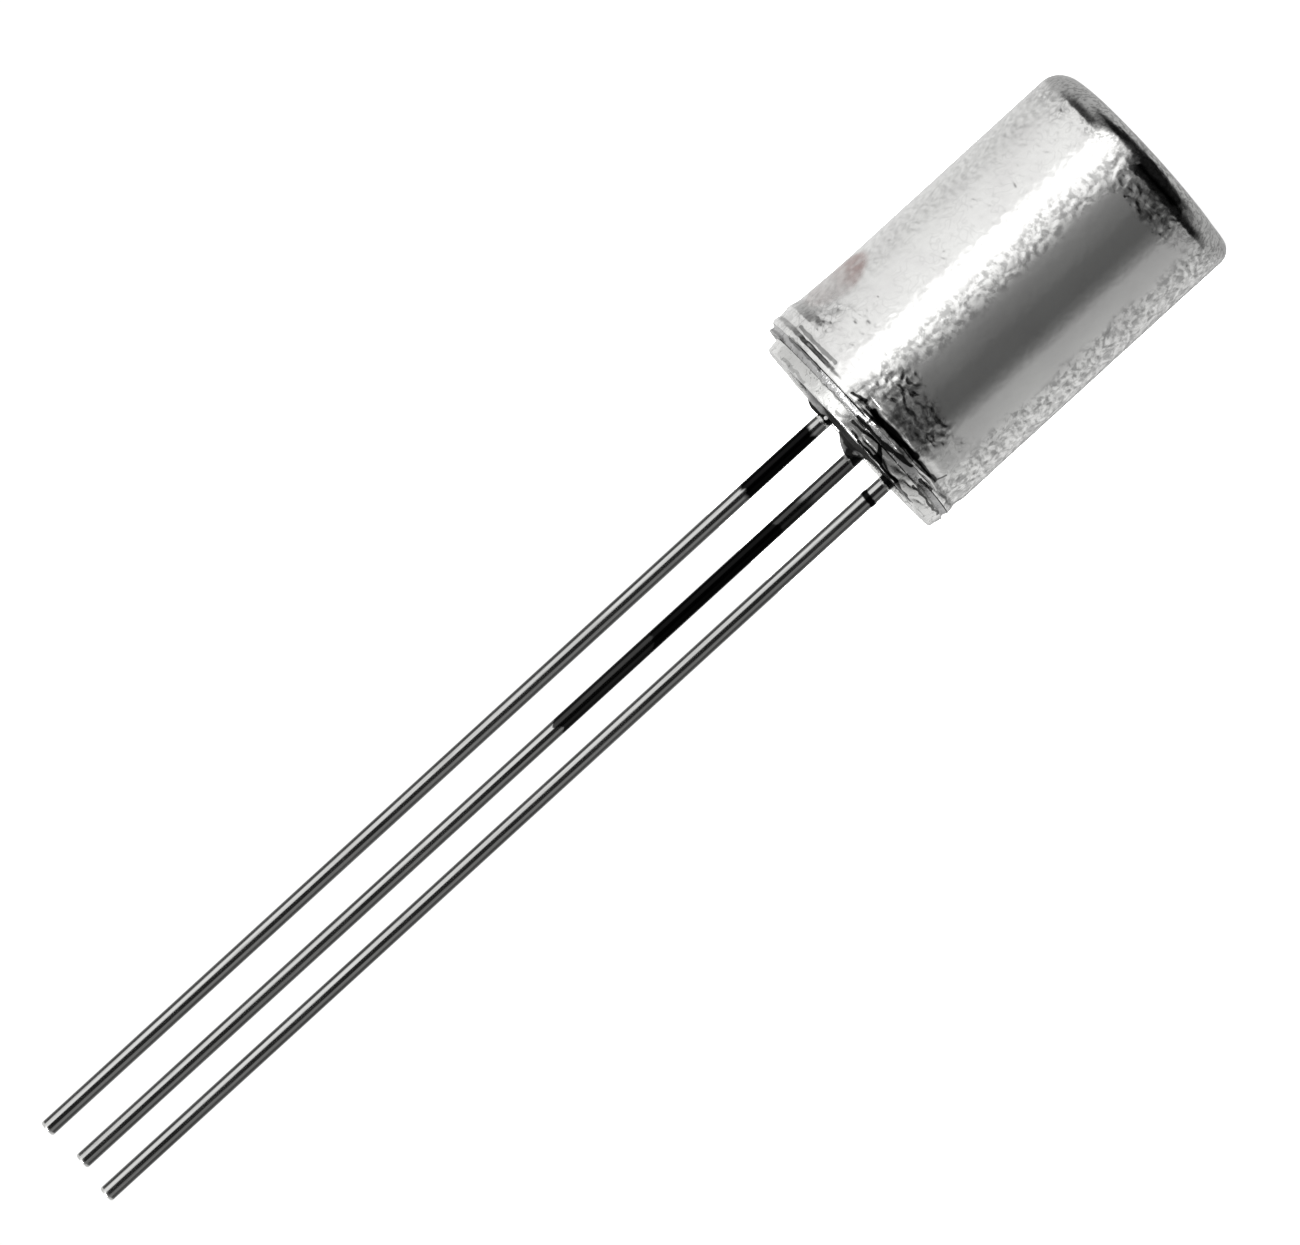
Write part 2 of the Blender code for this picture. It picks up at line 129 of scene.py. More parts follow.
# The corner's rounding by azimuth: (azimuth in degrees, radius)
CORNER_RADII = (
    (-180.0, 0.5), (-140.0, 0.5), (-95.0, 0.6), (-60.0, 0.68), (-15.0, 0.7), (35.0, 0.7),
    (58.0, 0.64), (80.0, 0.36), (110.0, 0.34), (145.0, 0.5), (180.0, 0.5),
)
CORNER_TOP = 1.0
CORNER_INNER = 2.0
FLARE = 0.045
FLARE_LOW = 6.8
FLARE_HIGH = 8.45
GROOVE_Z = 8.76
GROOVE_LOW = 8.46
GROOVE_HIGH = 8.90
GROOVE_DEPTH = 0.03
RIM_ROUND = 0.05
CAN_COLUMNS = 320
FLARE_STEPS = 12
GROOVE_STEPS = 48

# Header ring, solder and glass, in millimetres
HEADER_X = -0.14
FLANGE_LOW = 9.14
FLANGE_HIGH = 9.54
FLANGE_RADIUS = 2.82
FLANGE_EDGE = 0.055
FLANGE_LEAN = 0.028
COLLAR_LOW = 7.94
COLLAR_RADIUS = 2.56
COLLAR_BORE = 2.31
COLLAR_ROOT = 0.06
RING_COLUMNS = 320
SOLDER_LOW = 9.02
SOLDER_HIGH = 9.12
SOLDER_RADIUS = 2.995
SOLDER_BORE = 2.66
SOLDER_TIP = 2.85
SOLDER_TOP = 9.19
SOLDER_HOLLOW = 0.022
SOLDER_STEPS = 18
GLASS_RADIUS = 2.29
GLASS_LOW = 8.09
GLASS_RIM = 9.44
DOME_RADIUS = 1.9
DOME_RISE = 0.13
CLIMB_GAP = 0.03
CLIMB_REACH = 0.075
# Blobs where the glass was worked: place, radius, height
GLASS_BLOBS = (
    ((0.98, 0.05), 0.46, 0.2),
    ((-0.27, 0.98), 0.5, 0.26),
)

SOOT_HEIGHT = 9.64
# Places on the base wire's blob where the soot is rubbed off: across, height, reach
CLEAR_SPOTS = (
    (-0.02, 9.69, 0.09),
    (-0.17, 9.76, 0.12),
    (-0.5, 9.61, 0.045),
    (-0.62, 9.54, 0.05),
)
CLEAR_FLATNESS = 1.5

# Wires, in millimetres: place, inner end, how high the glass climbs them
LEAD_RADIUS = 0.2
LEAD_TOP = 34.2
LEAD_CHAMFER = 0.03
LEAD_COLUMNS = 48
LEADS = {
    "collector": ((0.5668, 0.0808), 6.99, 0.03),
    "base": ((-0.5408, 1.0268), 6.49, 0.06),
    "emitter": ((-1.4868, -0.0808), 6.99, 0.04),
}
# The collector's bead is a small bump; its white colour is a painted highlight
PAINTED_HIGHLIGHT_BEADS = {"collector": (0.5668, -0.1292, 9.6)}
BEAD_RADIUS = 0.055
BEAD_RISE = 0.03
COLLARS = {"emitter": 10.135}
COLLAR_HALF = 0.1
COLLAR_RISE = 0.016


def smooth(value, low, high):
    """0 below low and 1 above high, with a soft step between; low may be the greater."""
    share = min(1.0, max(0.0, (value - low) / (high - low)))
    return share * share * (3 - 2 * share)


def window(value, low, high, soft):
    """1 between low and high, falling to 0 over soft on each side."""
    return smooth(value, low - soft, low) * (1 - smooth(value, high, high + soft))


def wave(point, scale, stretch, seed):
    """Smooth noise of about -1 to 1 at a point in millimetres; stretch packs it along Z."""
    place = Vector((point[0] * scale, point[1] * scale, point[2] * scale * stretch + seed))
    return noise.noise(place)


def ridge(point, scale, stretch, seed):
    """1 along thin wandering lines, and 0 away from them."""
    return 1 - min(1.0, abs(wave(point, scale, stretch, seed)) * 4.0)


def arc(centre, radius, start, end, count):
    """Points of (radius, height) on an arc whose angles are in degrees."""
    points = []
    for i in range(count + 1):
        angle = math.radians(start + (end - start) * i / count)
        points.append((centre[0] + radius * math.cos(angle), centre[1] + radius * math.sin(angle)))
    return points


def line(start, end, count):
    """Points between two places on an outline, without the first."""
    return [
        (start[0] + (end[0] - start[0]) * i / count, start[1] + (end[1] - start[1]) * i / count)
        for i in range(1, count + 1)
    ]


def outward(outline, closed):
    """The outward direction at each point of an outline that runs from low outside to high inside."""
    count = len(outline)
    normals = []
    for i in range(count):
        before = outline[i - 1] if (closed or i > 0) else outline[i]
        after = outline[(i + 1) % count] if (closed or i < count - 1) else outline[i]
        along = Vector((after[0] - before[0], after[1] - before[1]))
        normal = Vector((along.y, -along.x))
        normals.append(normal.normalized() if normal.length > 0 else Vector((0.0, -1.0)))
    return normals


def skin(rows, columns):
    """The faces between rows of points, each a ring of columns or a single point."""
    faces = []
    for low, high in zip(rows, rows[1:]):
        for k in range(columns):
            n = (k + 1) % columns
            if len(low) == 1:
                faces.append((low[0], high[n], high[k]))
            elif len(high) == 1:
                faces.append((low[k], low[n], high[0]))
            else:
                faces.append((low[k], low[n], high[n], high[k]))
    return faces


def circle(radius, height, columns):
    """Points round the Z axis, in the unit of the radius."""
    turns = [math.tau * k / columns for k in range(columns)]
    return [(radius * math.cos(turn), radius * math.sin(turn), height) for turn in turns]


def spun(name, outline, columns, relief, centre_x=0.0, closed=False):
    """A closed surface spun from an outline in millimetres.

    relief(azimuth, point, position, normal) gives the change of (radius, height) at a point.
    """
    normals = outward(outline, closed)
    verts = []
    rows = []
    for i, (radius, height) in enumerate(outline):
        if radius < 1e-9:
            rows.append([len(verts)])
            verts.append((centre_x * MM, 0.0, height * MM))
            continue
        row = []
        for k in range(columns):
            azimuth = -180.0 + 360.0 * k / columns
            turn = math.radians(azimuth)
            place = (centre_x - radius * math.sin(turn), -radius * math.cos(turn), height)
            out, up = relief(azimuth, place, (radius, height), normals[i])
            r = radius + out
            z = height + up
            row.append(len(verts))
            verts.append(((centre_x - r * math.sin(turn)) * MM, -r * math.cos(turn) * MM, z * MM))
        rows.append(row)
    if closed:
        rows.append(rows[0])
    return add_mesh(name, verts, skin(rows, columns))


def linked(name, data):
    """An object in the scene that shows a mesh, a camera or a lamp."""
    made = bpy.data.objects.new(name, data)
    bpy.context.scene.collection.objects.link(made)
    return made


def linked_mesh(name, verts, faces):
    """A mesh object in the scene, from points in metres."""
    mesh = bpy.data.meshes.new(name)
    mesh.from_pydata(verts, [], faces)
    mesh.update()
    return linked(name, mesh)


def add_mesh(name, verts, faces):
    """A smooth-shaded object from points in metres, with its faces turned outward."""
    piece = linked_mesh(name, verts, faces)
    mesh = piece.data
    volume = 0.0
    for face in mesh.polygons:
        corners = [mesh.vertices[i].co for i in face.vertices]
        for second, third in zip(corners[1:], corners[2:]):
            volume += corners[0].dot(second.cross(third))
    if volume < 0:
        mesh.flip_normals()
    mesh.shade_smooth()
    return piece


def finished(piece, node, material):
    """Make a piece stand for a CAD node and its material."""
    piece.data.materials.append(material)
    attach(piece, "root")
    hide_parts(node)


# Shader nodes


def feed(tree, node, inputs):
    """Join sockets to a node's inputs or give them plain values, by name or by number."""
    for key, value in inputs.items():
        if isinstance(value, bpy.types.NodeSocket):
            tree.links.new(value, node.inputs[key])
        else:
            node.inputs[key].default_value = value


def add_node(tree, kind, inputs, **settings):
    """One node with its settings and its inputs."""
    made = tree.nodes.new(kind)
    for key, value in settings.items():
        setattr(made, key, value)
    feed(tree, made, inputs)
    return made


def calc(tree, operation, first, second=0.0, clamp=False):
    """The output of one math node."""
    inputs = {0: first, 1: second}
    return add_node(tree, "ShaderNodeMath", inputs, operation=operation, use_clamp=clamp).outputs[0]


def times(tree, first, second):
    """The product of two numbers."""
    return calc(tree, "MULTIPLY", first, second)


def plus(tree, first, second):
    """The sum of two numbers."""
    return calc(tree, "ADD", first, second)


def minus(tree, first, second):
    """The first number less the second."""
    return calc(tree, "SUBTRACT", first, second)


def most(tree, first, second):
    """The greater of two numbers."""
    return calc(tree, "MAXIMUM", first, second)


def ranged(tree, value, low, high, to_low=0.0, to_high=1.0):
    """A smooth step of a value from one range to another."""
    inputs = {"Value": value, "From Min": low, "From Max": high, "To Min": to_low, "To Max": to_high}
    return add_node(tree, "ShaderNodeMapRange", inputs, interpolation_type="SMOOTHSTEP").outputs[0]


def between(tree, value, rise, fall):
    """1 between two soft edges: it rises over the first range and is back at 0 past the second."""
    return times(tree, ranged(tree, value, *rise), ranged(tree, value, *fall))


def vector_calc(tree, operation, first, second):
    """The vector that one vector math node gives."""
    made = add_node(tree, "ShaderNodeVectorMath", {0: first, 1: second}, operation=operation)
    return made.outputs[0]


def measured(tree, operation, first, second):
    """The number that one vector math node gives, such as a distance."""
    made = add_node(tree, "ShaderNodeVectorMath", {0: first, 1: second}, operation=operation)
    return made.outputs["Value"]


def split_place(tree, place):
    """The three parts of a place in metres, and its height in millimetres."""
    split = add_node(tree, "ShaderNodeSeparateXYZ", {0: place})
    return split, times(tree, split.outputs[2], 1.0 / MM)


def blended(tree, share, first, second):
    """A mix of two colours by a share."""
    made = add_node(tree, "ShaderNodeMix", {0: share, 6: first, 7: second}, data_type="RGBA")
    return made.outputs[2]


def lerp(tree, share, first, second):
    """A mix of two numbers by a share."""
    made = add_node(tree, "ShaderNodeMix", {0: share, 2: first, 3: second}, data_type="FLOAT")
    return made.outputs[0]


def grain(tree, place, size, detail=2.0, roughness=0.55, distortion=0.0):
    """Noise whose features are about size millimetres wide."""
    inputs = {"Vector": place, "Scale": 1.0 / (size * MM), "Detail": detail}
    inputs |= {"Roughness": roughness, "Distortion": distortion}
    return add_node(tree, "ShaderNodeTexNoise", inputs).outputs[0]


def drift(tree, place, size, detail):
    """Random vectors, 0 to 1 on each axis, from noise of about size millimetres."""
    inputs = {"Vector": place, "Scale": 1.0 / (size * MM), "Detail": detail}
    return add_node(tree, "ShaderNodeTexNoise", inputs).outputs[1]


def stretched(tree, place, scale):
    """A place with its axes scaled, for noise that is longer one way."""
    return vector_calc(tree, "MULTIPLY", place, scale)


def bands_ramp(tree, azimuth, bands):
    """Radiance by azimuth in degrees."""
    position = plus(tree, calc(tree, "DIVIDE", azimuth, 360.0), 0.5)
    made = add_node(tree, "ShaderNodeValToRGB", {0: position})
    elements = made.color_ramp.elements
    for i, (angle, light) in enumerate(bands):
        at = angle / 360.0 + 0.5
        if 0 < i < len(bands) - 1:
            element = elements.new(at)
        else:
            element = elements[0 if i == 0 else len(elements) - 1]
            element.position = at
        level = light / ROOM_PEAK
        element.color = (level, level, level, 1.0)
    grey = add_node(tree, "ShaderNodeRGBToBW", {0: made.outputs[0]})
    return times(tree, grey.outputs[0], ROOM_PEAK)


def azimuth_of(tree, split):
    """The azimuth in degrees of a split vector: 0 toward -Y, positive toward -X."""
    left = times(tree, split.outputs[0], -1.0)
    near = times(tree, split.outputs[1], -1.0)
    turn = calc(tree, "ARCTAN2", left, near)
    return times(tree, turn, 180.0 / math.pi)


def new_material(name):
    """A node material, its tree, its shader and the place on the object in metres."""
    made = bpy.data.materials.new(name)
    made.use_nodes = True
    tree = made.node_tree
    shader = tree.nodes["Principled BSDF"]
    place = tree.nodes.new("ShaderNodeTexCoord").outputs["Object"]
    return made, tree, shader, place


def bumped(tree, shader, height, depth):
    """Join a height in 0 to 1 to the shader, with its depth in millimetres."""
    inputs = {"Strength": 1.0, "Distance": depth * MM, "Height": height}
    made = add_node(tree, "ShaderNodeBump", inputs)
    tree.links.new(made.outputs[0], shader.inputs["Normal"])


# Materials


# Colour of the dark residue, and of one stroke of painted shade by the groove
FLUX_AND_SHADE_COLOUR = (0.008, 0.008, 0.008, 1.0)

# Strokes of dark residue where the seam was worked, and one stroke of painted shade by the groove:
# azimuth and height at both ends, half width, strength (degrees and millimetres)
SEAM_STROKES = (
    (1.7, 8.808, 17.6, 8.803, 0.105, 1.0),
    (17.6, 8.803, 30.8, 8.735, 0.093, 1.0),
    (-1.4, 9.129, 13.4, 9.138, 0.06, 1.0),
    (13.4, 9.138, 31.9, 8.987, 0.068, 1.0),
    (-1.9, 9.302, 5.7, 9.267, 0.052, 0.95),
    (5.7, 9.267, 13.4, 9.161, 0.058, 1.0),
    (13.4, 9.161, 21.4, 9.432, 0.066, 1.0),
    (17.6, 9.435, 20.9, 9.456, 0.07, 1.0),
    (7.0, 9.484, 34.6, 9.479, 0.047, 1.0),
    (34.6, 9.479, 50.6, 9.545, 0.035, 0.9),
    (31.4, 8.792, 48.5, 8.77, 0.058, 0.9),
    (48.8, 8.735, 49.5, 8.504, 0.029, 0.7),
    (40.9, 9.023, 50.6, 8.998, 0.047, 0.95),
    (42.1, 9.252, 73.4, 9.204, 0.035, 0.9),
    (54.4, 8.9, 77.1, 8.849, 0.035, 0.6),
    (3.5, 9.118, 3.5, 8.796, 0.035, 0.9),
    (-11.3, 8.863, -4.6, 8.727, 0.047, 0.95),
    (-12.2, 9.03, 0.3, 9.03, 0.06, 0.75),
    # A broad faint stroke of painted shade that darkens the mouth by the groove
    (11.0, 8.53, 31.0, 8.5, 0.14, 0.5),
    (-10.4, 8.772, -9.5, 8.566, 0.023, 0.4),
    (-10.0, 9.415, -3.7, 9.313, 0.035, 0.5),
    (-27.5, 9.198, -1.4, 9.198, 0.023, 0.5),
    (-3.0, 9.22, 34.0, 9.2, 0.26, 0.42),
    (-64.0, 9.33, -24.0, 9.33, 0.16, 0.16),
    (-58.0, 9.47, -34.0, 9.49, 0.05, 0.4),
    (-56.0, 8.69, -27.0, 8.68, 0.05, 0.6),
    (-56.0, 9.02, -30.0, 9.03, 0.045, 0.6),
)
MOUTH_RADIUS = 2.95
STROKE_WANDER = 0.16
STROKE_WANDER_SIZE = 0.3
STROKE_OUTER = 1.2
STROKE_INNER = 0.65

# Faint marks round the rest of the seam: soft edges in millimetres and in degrees
MARK_SIZE = 0.75
MARK_STRETCH = 3.2
MARK_WIDTHS = (0.03, 0.008)
MARK_STRENGTH = 0.45
MARK_HEIGHTS = (8.55, 8.7)
MARKS_LEFT = (66.0, 84.0)
MARKS_RIGHT = (-94.0, -112.0)


def flux_and_shade(tree, place, height, azimuth):
    """Dark residue: strokes where the seam was worked, one broad stroke of painted shade by the
    groove, and faint marks round the rest of it.
    """
    around = times(tree, azimuth, math.radians(MOUTH_RADIUS))
    flat = add_node(tree, "ShaderNodeCombineXYZ", {0: around, 1: height}).outputs[0]
    shift = vector_calc(tree, "SUBTRACT", drift(tree, place, STROKE_WANDER_SIZE, 1.0), (0.5,) * 3)
    shift = vector_calc(tree, "MULTIPLY", shift, (STROKE_WANDER, STROKE_WANDER, 0.0))
    spot = vector_calc(tree, "ADD", flat, shift)
    marks = None
    for turn, low, end_turn, end, half, strength in SEAM_STROKES:
        start = Vector((math.radians(turn) * MOUTH_RADIUS, low, 0.0))
        along = Vector((math.radians(end_turn) * MOUTH_RADIUS, end, 0.0)) - start
        away = vector_calc(tree, "SUBTRACT", spot, tuple(start))
        share = measured(tree, "DOT_PRODUCT", away, tuple(along / along.length_squared))
        share = calc(tree, "ADD", share, 0.0, clamp=True)
        inputs = {0: tuple(along), "Scale": share}
        nearest = add_node(tree, "ShaderNodeVectorMath", inputs, operation="SCALE").outputs[0]
        gap = measured(tree, "DISTANCE", away, nearest)
        stroke = ranged(tree, gap, half * STROKE_OUTER, half * STROKE_INNER, 0.0, strength)
        marks = stroke if marks is None else most(tree, marks, stroke)
    level = grain(tree, stretched(tree, place, (1.0, 1.0, MARK_STRETCH)), MARK_SIZE, 2.0, 0.45, 0.4)
    faint = calc(tree, "ABSOLUTE", minus(tree, level, 0.5))
    faint = ranged(tree, faint, *MARK_WIDTHS, 0.0, MARK_STRENGTH)
    behind = most(tree, ranged(tree, azimuth, *MARKS_LEFT), ranged(tree, azimuth, *MARKS_RIGHT))
    faint = times(tree, times(tree, faint, ranged(tree, height, *MARK_HEIGHTS)), behind)
    return most(tree, marks, faint)


# Can's plating. Soft edges in millimetres of height
MOUTH_GRAIN = (7.5, 7.95)
END_GRAIN = (1.3, 1.0)
CORNER_CALM = (0.55, 0.9)
CORNER_CLEAN = (0.25, 0.7)
CORNER_SPECKS = (0.85, 0.55)
# Soft edges in degrees of azimuth: grain beyond each of two, and zones from one edge to another
GRAIN_ABOVE = (50.0, 57.0)
GRAIN_BELOW = (2.0, -5.0)
UPPER_ZONE = ((-150.0, -110.0), (-42.0, -50.0))
BRIGHT_ZONE = ((-48.0, -38.0), (-6.0, -14.0))
TURNING_ZONE = ((-15.5, -10.5), (3.0, -2.0))
FRONT_ZONE = ((-6.0, 2.0), (42.0, 30.0))
BELOW_BAND_ZONE = ((29.0, 36.0), (56.0, 48.0))
LOWER_ZONE = ((46.0, 53.0), (150.0, 110.0))
EDGE_SIZE = 0.9
EDGE_WANDER = 1.6
EDGE_TURN = 8.0
END_FRONT_TURN = 10.0
# How strong the grain is
SIDE_GRAIN = 0.27
TURNING_GRAIN = 0.24
LOWER_GRAIN = 0.6
ENDS_GRAIN = 0.7
CORNER_GRAIN = 0.3
LEAST_GRAIN = 0.06
# Zones where the ends' grain is fainter, and what share of it is left
FAINTER_ENDS = ((BRIGHT_ZONE, 0.15), (UPPER_ZONE, 0.55), (BELOW_BAND_ZONE, 0.45))
WARP_SIZE = 0.4
WARP = 0.14
CELL_SIZE = 0.18
CELL_SHARE = 0.85
FINE_SIZE = 0.1
GRAIN_DEPTH = 0.045
# Colours, and dark lines, mottle and specks on them
PLATING = (0.80, 0.80, 0.79, 1.0)
PLATING_STAINED = (0.74, 0.735, 0.73, 1.0)
STAIN_SIZE = 1.3
LINE_SIZE = 0.17
LINE_WIDTH = 0.10
LINE_PATCH_SIZE = 0.45
LINE_COLOUR = (0.18, 0.18, 0.18, 1.0)
MOTTLE_SIZE = 0.16
MOTTLE_COLOUR = (0.16, 0.16, 0.16, 1.0)
TURNING_MOTTLE = 0.56
LOWER_MOTTLE = 0.6
END_MOTTLE = 0.45
FRONT_MOTTLE = 0.8
CORNER_MOTTLE = 0.4
SPECK_SIZE = 0.085
SPECK_SHARE = 0.5
SPECK_COLOUR = (0.2, 0.2, 0.2, 1.0)
PLATING_ROUGHNESS = (0.11, 0.2)
TURNING_ROUGHNESS = 0.24
# Faded spot of paint beside the collector
DOT_AZIMUTH = -70.0
DOT_HEIGHT = 7.3
DOT_EDGE = (1.04, 0.78)
DOT_WANDER = 0.12
DOT_ROUGHNESS = 0.15
DOT_REDDER = (7.45, 6.75)
DOT_FADED = (0.62, 0.585, 0.575, 1.0)
DOT_RED = (0.34, 0.225, 0.21, 1.0)


def can_material():
    """Bright tin plating: smooth in the middle, grainy at both ends and along the shoulders."""
    made, tree, shader, place = new_material("plated_can")
    split, height = split_place(tree, place)
    azimuth = azimuth_of(tree, split)
    uneven = grain(tree, place, EDGE_SIZE, 3.0)
    wander = times(tree, minus(tree, uneven, 0.5), EDGE_WANDER)
    edge_height = plus(tree, height, wander)
    turn = plus(tree, azimuth, times(tree, wander, EDGE_TURN))
    near_mouth = ranged(tree, edge_height, *MOUTH_GRAIN)
    near_end = ranged(tree, edge_height, *END_GRAIN)
    sides = most(tree, ranged(tree, turn, *GRAIN_ABOVE), ranged(tree, turn, *GRAIN_BELOW))
    ends = most(tree, near_mouth, near_end)
    for zone, share in FAINTER_ENDS:
        ends = times(tree, ends, lerp(tree, between(tree, turn, *zone), 1.0, share))
    lower_side = between(tree, turn, *LOWER_ZONE)
    turning = between(tree, turn, *TURNING_ZONE)
    share = lerp(tree, lower_side, lerp(tree, turning, SIDE_GRAIN, TURNING_GRAIN), LOWER_GRAIN)
    side_grain = times(tree, sides, share)
    rough_area = most(tree, side_grain, times(tree, ends, ENDS_GRAIN))
    rough_area = times(tree, rough_area, ranged(tree, height, *CORNER_CALM, CORNER_GRAIN, 1.0))
    rough_area = most(tree, rough_area, LEAST_GRAIN)

    shift = vector_calc(tree, "MULTIPLY", drift(tree, place, WARP_SIZE, 0.0), (WARP * MM,) * 3)
    bent = vector_calc(tree, "ADD", place, shift)
    cells = times(tree, grain(tree, bent, CELL_SIZE, 0.0), CELL_SHARE)
    fine = times(tree, grain(tree, bent, FINE_SIZE, 0.0), 1.0 - CELL_SHARE)
    relief = minus(tree, plus(tree, cells, fine), 0.5)
    bumped(tree, shader, times(tree, relief, rough_area), GRAIN_DEPTH)

    lines = calc(tree, "ABSOLUTE", minus(tree, grain(tree, bent, LINE_SIZE, 0.0), 0.5))
    lines = ranged(tree, lines, LINE_WIDTH, 0.0)
    patches = ranged(tree, grain(tree, place, LINE_PATCH_SIZE, 2.0), 0.42, 0.58)
    lines = times(tree, lines, patches)
    lines = times(tree, lines, lerp(tree, ends, times(tree, rough_area, 0.4), 0.55))
    stain = ranged(tree, grain(tree, place, STAIN_SIZE, 3.0), 0.35, 0.75)
    colour = blended(tree, stain, PLATING, PLATING_STAINED)
    colour = blended(tree, times(tree, lines, 0.8), colour, LINE_COLOUR)
    turning_mottle = times(tree, turning, TURNING_MOTTLE)
    mottle = most(tree, turning_mottle, times(tree, lower_side, LOWER_MOTTLE))
    front_turn = minus(tree, turn, times(tree, near_end, END_FRONT_TURN))
    front = between(tree, front_turn, *FRONT_ZONE)
    end_mottle = times(tree, ends, lerp(tree, front, END_MOTTLE, FRONT_MOTTLE))
    mottle = most(tree, mottle, end_mottle)
    mottle = times(tree, mottle, ranged(tree, height, *CORNER_CLEAN, CORNER_MOTTLE, 1.0))
    level = grain(tree, stretched(tree, bent, (1.0, 0.4, 1.0)), MOTTLE_SIZE, 2.0)
    blotches = ranged(tree, level, 0.6, 0.36)
    colour = blended(tree, times(tree, blotches, mottle), colour, MOTTLE_COLOUR)
    specks = ranged(tree, grain(tree, bent, SPECK_SIZE, 1.0, 0.6), 0.56, 0.4)
    specks = times(tree, specks, ranged(tree, edge_height, *CORNER_SPECKS, 0.0, SPECK_SHARE))
    colour = blended(tree, specks, colour, SPECK_COLOUR)
    # Dark residue at the seam, with one stroke of painted shade by the groove
    colour = blended(tree, flux_and_shade(tree, place, height, azimuth), colour, FLUX_AND_SHADE_COLOUR)

    dot_turn = math.radians(DOT_AZIMUTH)
    dot_x = -CAN_RADIUS * math.sin(dot_turn) * MM
    dot_y = -CAN_RADIUS * math.cos(dot_turn) * MM
    away = measured(tree, "DISTANCE", place, (dot_x, dot_y, DOT_HEIGHT * MM))
    spread = plus(tree, away, times(tree, wander, DOT_WANDER * MM))
    dot = ranged(tree, spread, DOT_EDGE[0] * MM, DOT_EDGE[1] * MM)
    worn = ranged(tree, grain(tree, place, 0.35, 3.0), 0.3, 0.7, 0.45, 0.85)
    paint = blended(tree, ranged(tree, height, *DOT_REDDER), DOT_FADED, DOT_RED)
    colour = blended(tree, times(tree, dot, worn), colour, paint)

    rough = lerp(tree, turning, lerp(tree, rough_area, *PLATING_ROUGHNESS), TURNING_ROUGHNESS)
    rough = plus(tree, rough, times(tree, dot, DOT_ROUGHNESS))
    feed(tree, shader, {"Base Color": colour, "Metallic": 1.0, "Roughness": rough})
    return made


# What the worked metals and the wires share: soft edges of their noise, from 0 to 1
PATCH_EDGES = (0.3, 0.7)
SPECK_EDGES = (0.56, 0.68)
SPECK_DARK = (0.04, 0.04, 0.04, 1.0)


def metal_material(name, colours, roughness, sizes, depth, dark=0.0, with_flux_and_shade=False):
    """A worked metal: two colours in patches, with fine relief, dark specks and dark strokes."""
    made, tree, shader, place = new_material(name)
    patches = ranged(tree, grain(tree, place, sizes[0], 3.0), *PATCH_EDGES)
    colour = blended(tree, patches, (*colours[0], 1.0), (*colours[1], 1.0))
    specks = ranged(tree, grain(tree, place, sizes[1], 2.0, 0.6, 0.8), *SPECK_EDGES)
    colour = blended(tree, times(tree, specks, dark), colour, SPECK_DARK)
    if with_flux_and_shade:
        split, height = split_place(tree, place)
        colour = blended(tree, flux_and_shade(tree, place, height, azimuth_of(tree, split)), colour, FLUX_AND_SHADE_COLOUR)
    rough = lerp(tree, grain(tree, place, sizes[1] * 2), *roughness)
    feed(tree, shader, {"Base Color": colour, "Metallic": 1.0, "Roughness": rough})
    bumped(tree, shader, grain(tree, place, sizes[1], 3.0, 0.6, 0.4), depth)
    return made


GLASS_COLOURS = ((0.20, 0.20, 0.20, 1.0), (0.31, 0.31, 0.305, 1.0))
SOOT_COLOURS = ((0.006, 0.006, 0.006, 1.0), (0.016, 0.016, 0.015, 1.0))
# Noises are (size, detail) or (size, detail, roughness, distortion), sizes and depths in millimetres
SWIRLS = (0.5, 3.0, 0.6, 1.5)
SWIRL_EDGES = (0.35, 0.7)
SOOT_NOISE = (0.2, 2.0)
SOOT_RAGGED = 0.06
SOOT_SOFT = 0.025
SOOT_FROM_BLOB = (0.36, 0.7)
SOOT_AROUND = 0.98
BLOB_NOISE = (0.4, 1.0)
BLOB_RAGGED = 0.22
TORN_NOISE = (0.12, 1.0)
TORN = 0.16
CLEAR_SOFT = (0.05, 0.04)
# Soot round a wire reaches this many times as far as the glass climbs it
WIRE_SOOT = 1.2
WIRE_SOOT_SOFT = (0.04, 0.02)
GLOSS_NOISE = (0.25, 2.0)
RIPPLE_NOISE = (0.3, 2.0)
RIPPLE_DEPTH = 0.008
BLOB_HEIGHT = 9.5
# Soft edge in metres across, past which the soot is rubbed off, and what is left of it there
RUBBED_Y = (0.45 * MM, 0.6 * MM)
RUBBED_LEFT = 0.3
GLASS_ROUGHNESS = (0.12, 0.26)
SOOT_ROUGHNESS = 0.7
GLASS_IOR = 1.52
GLASS_SPECULAR = 0.02


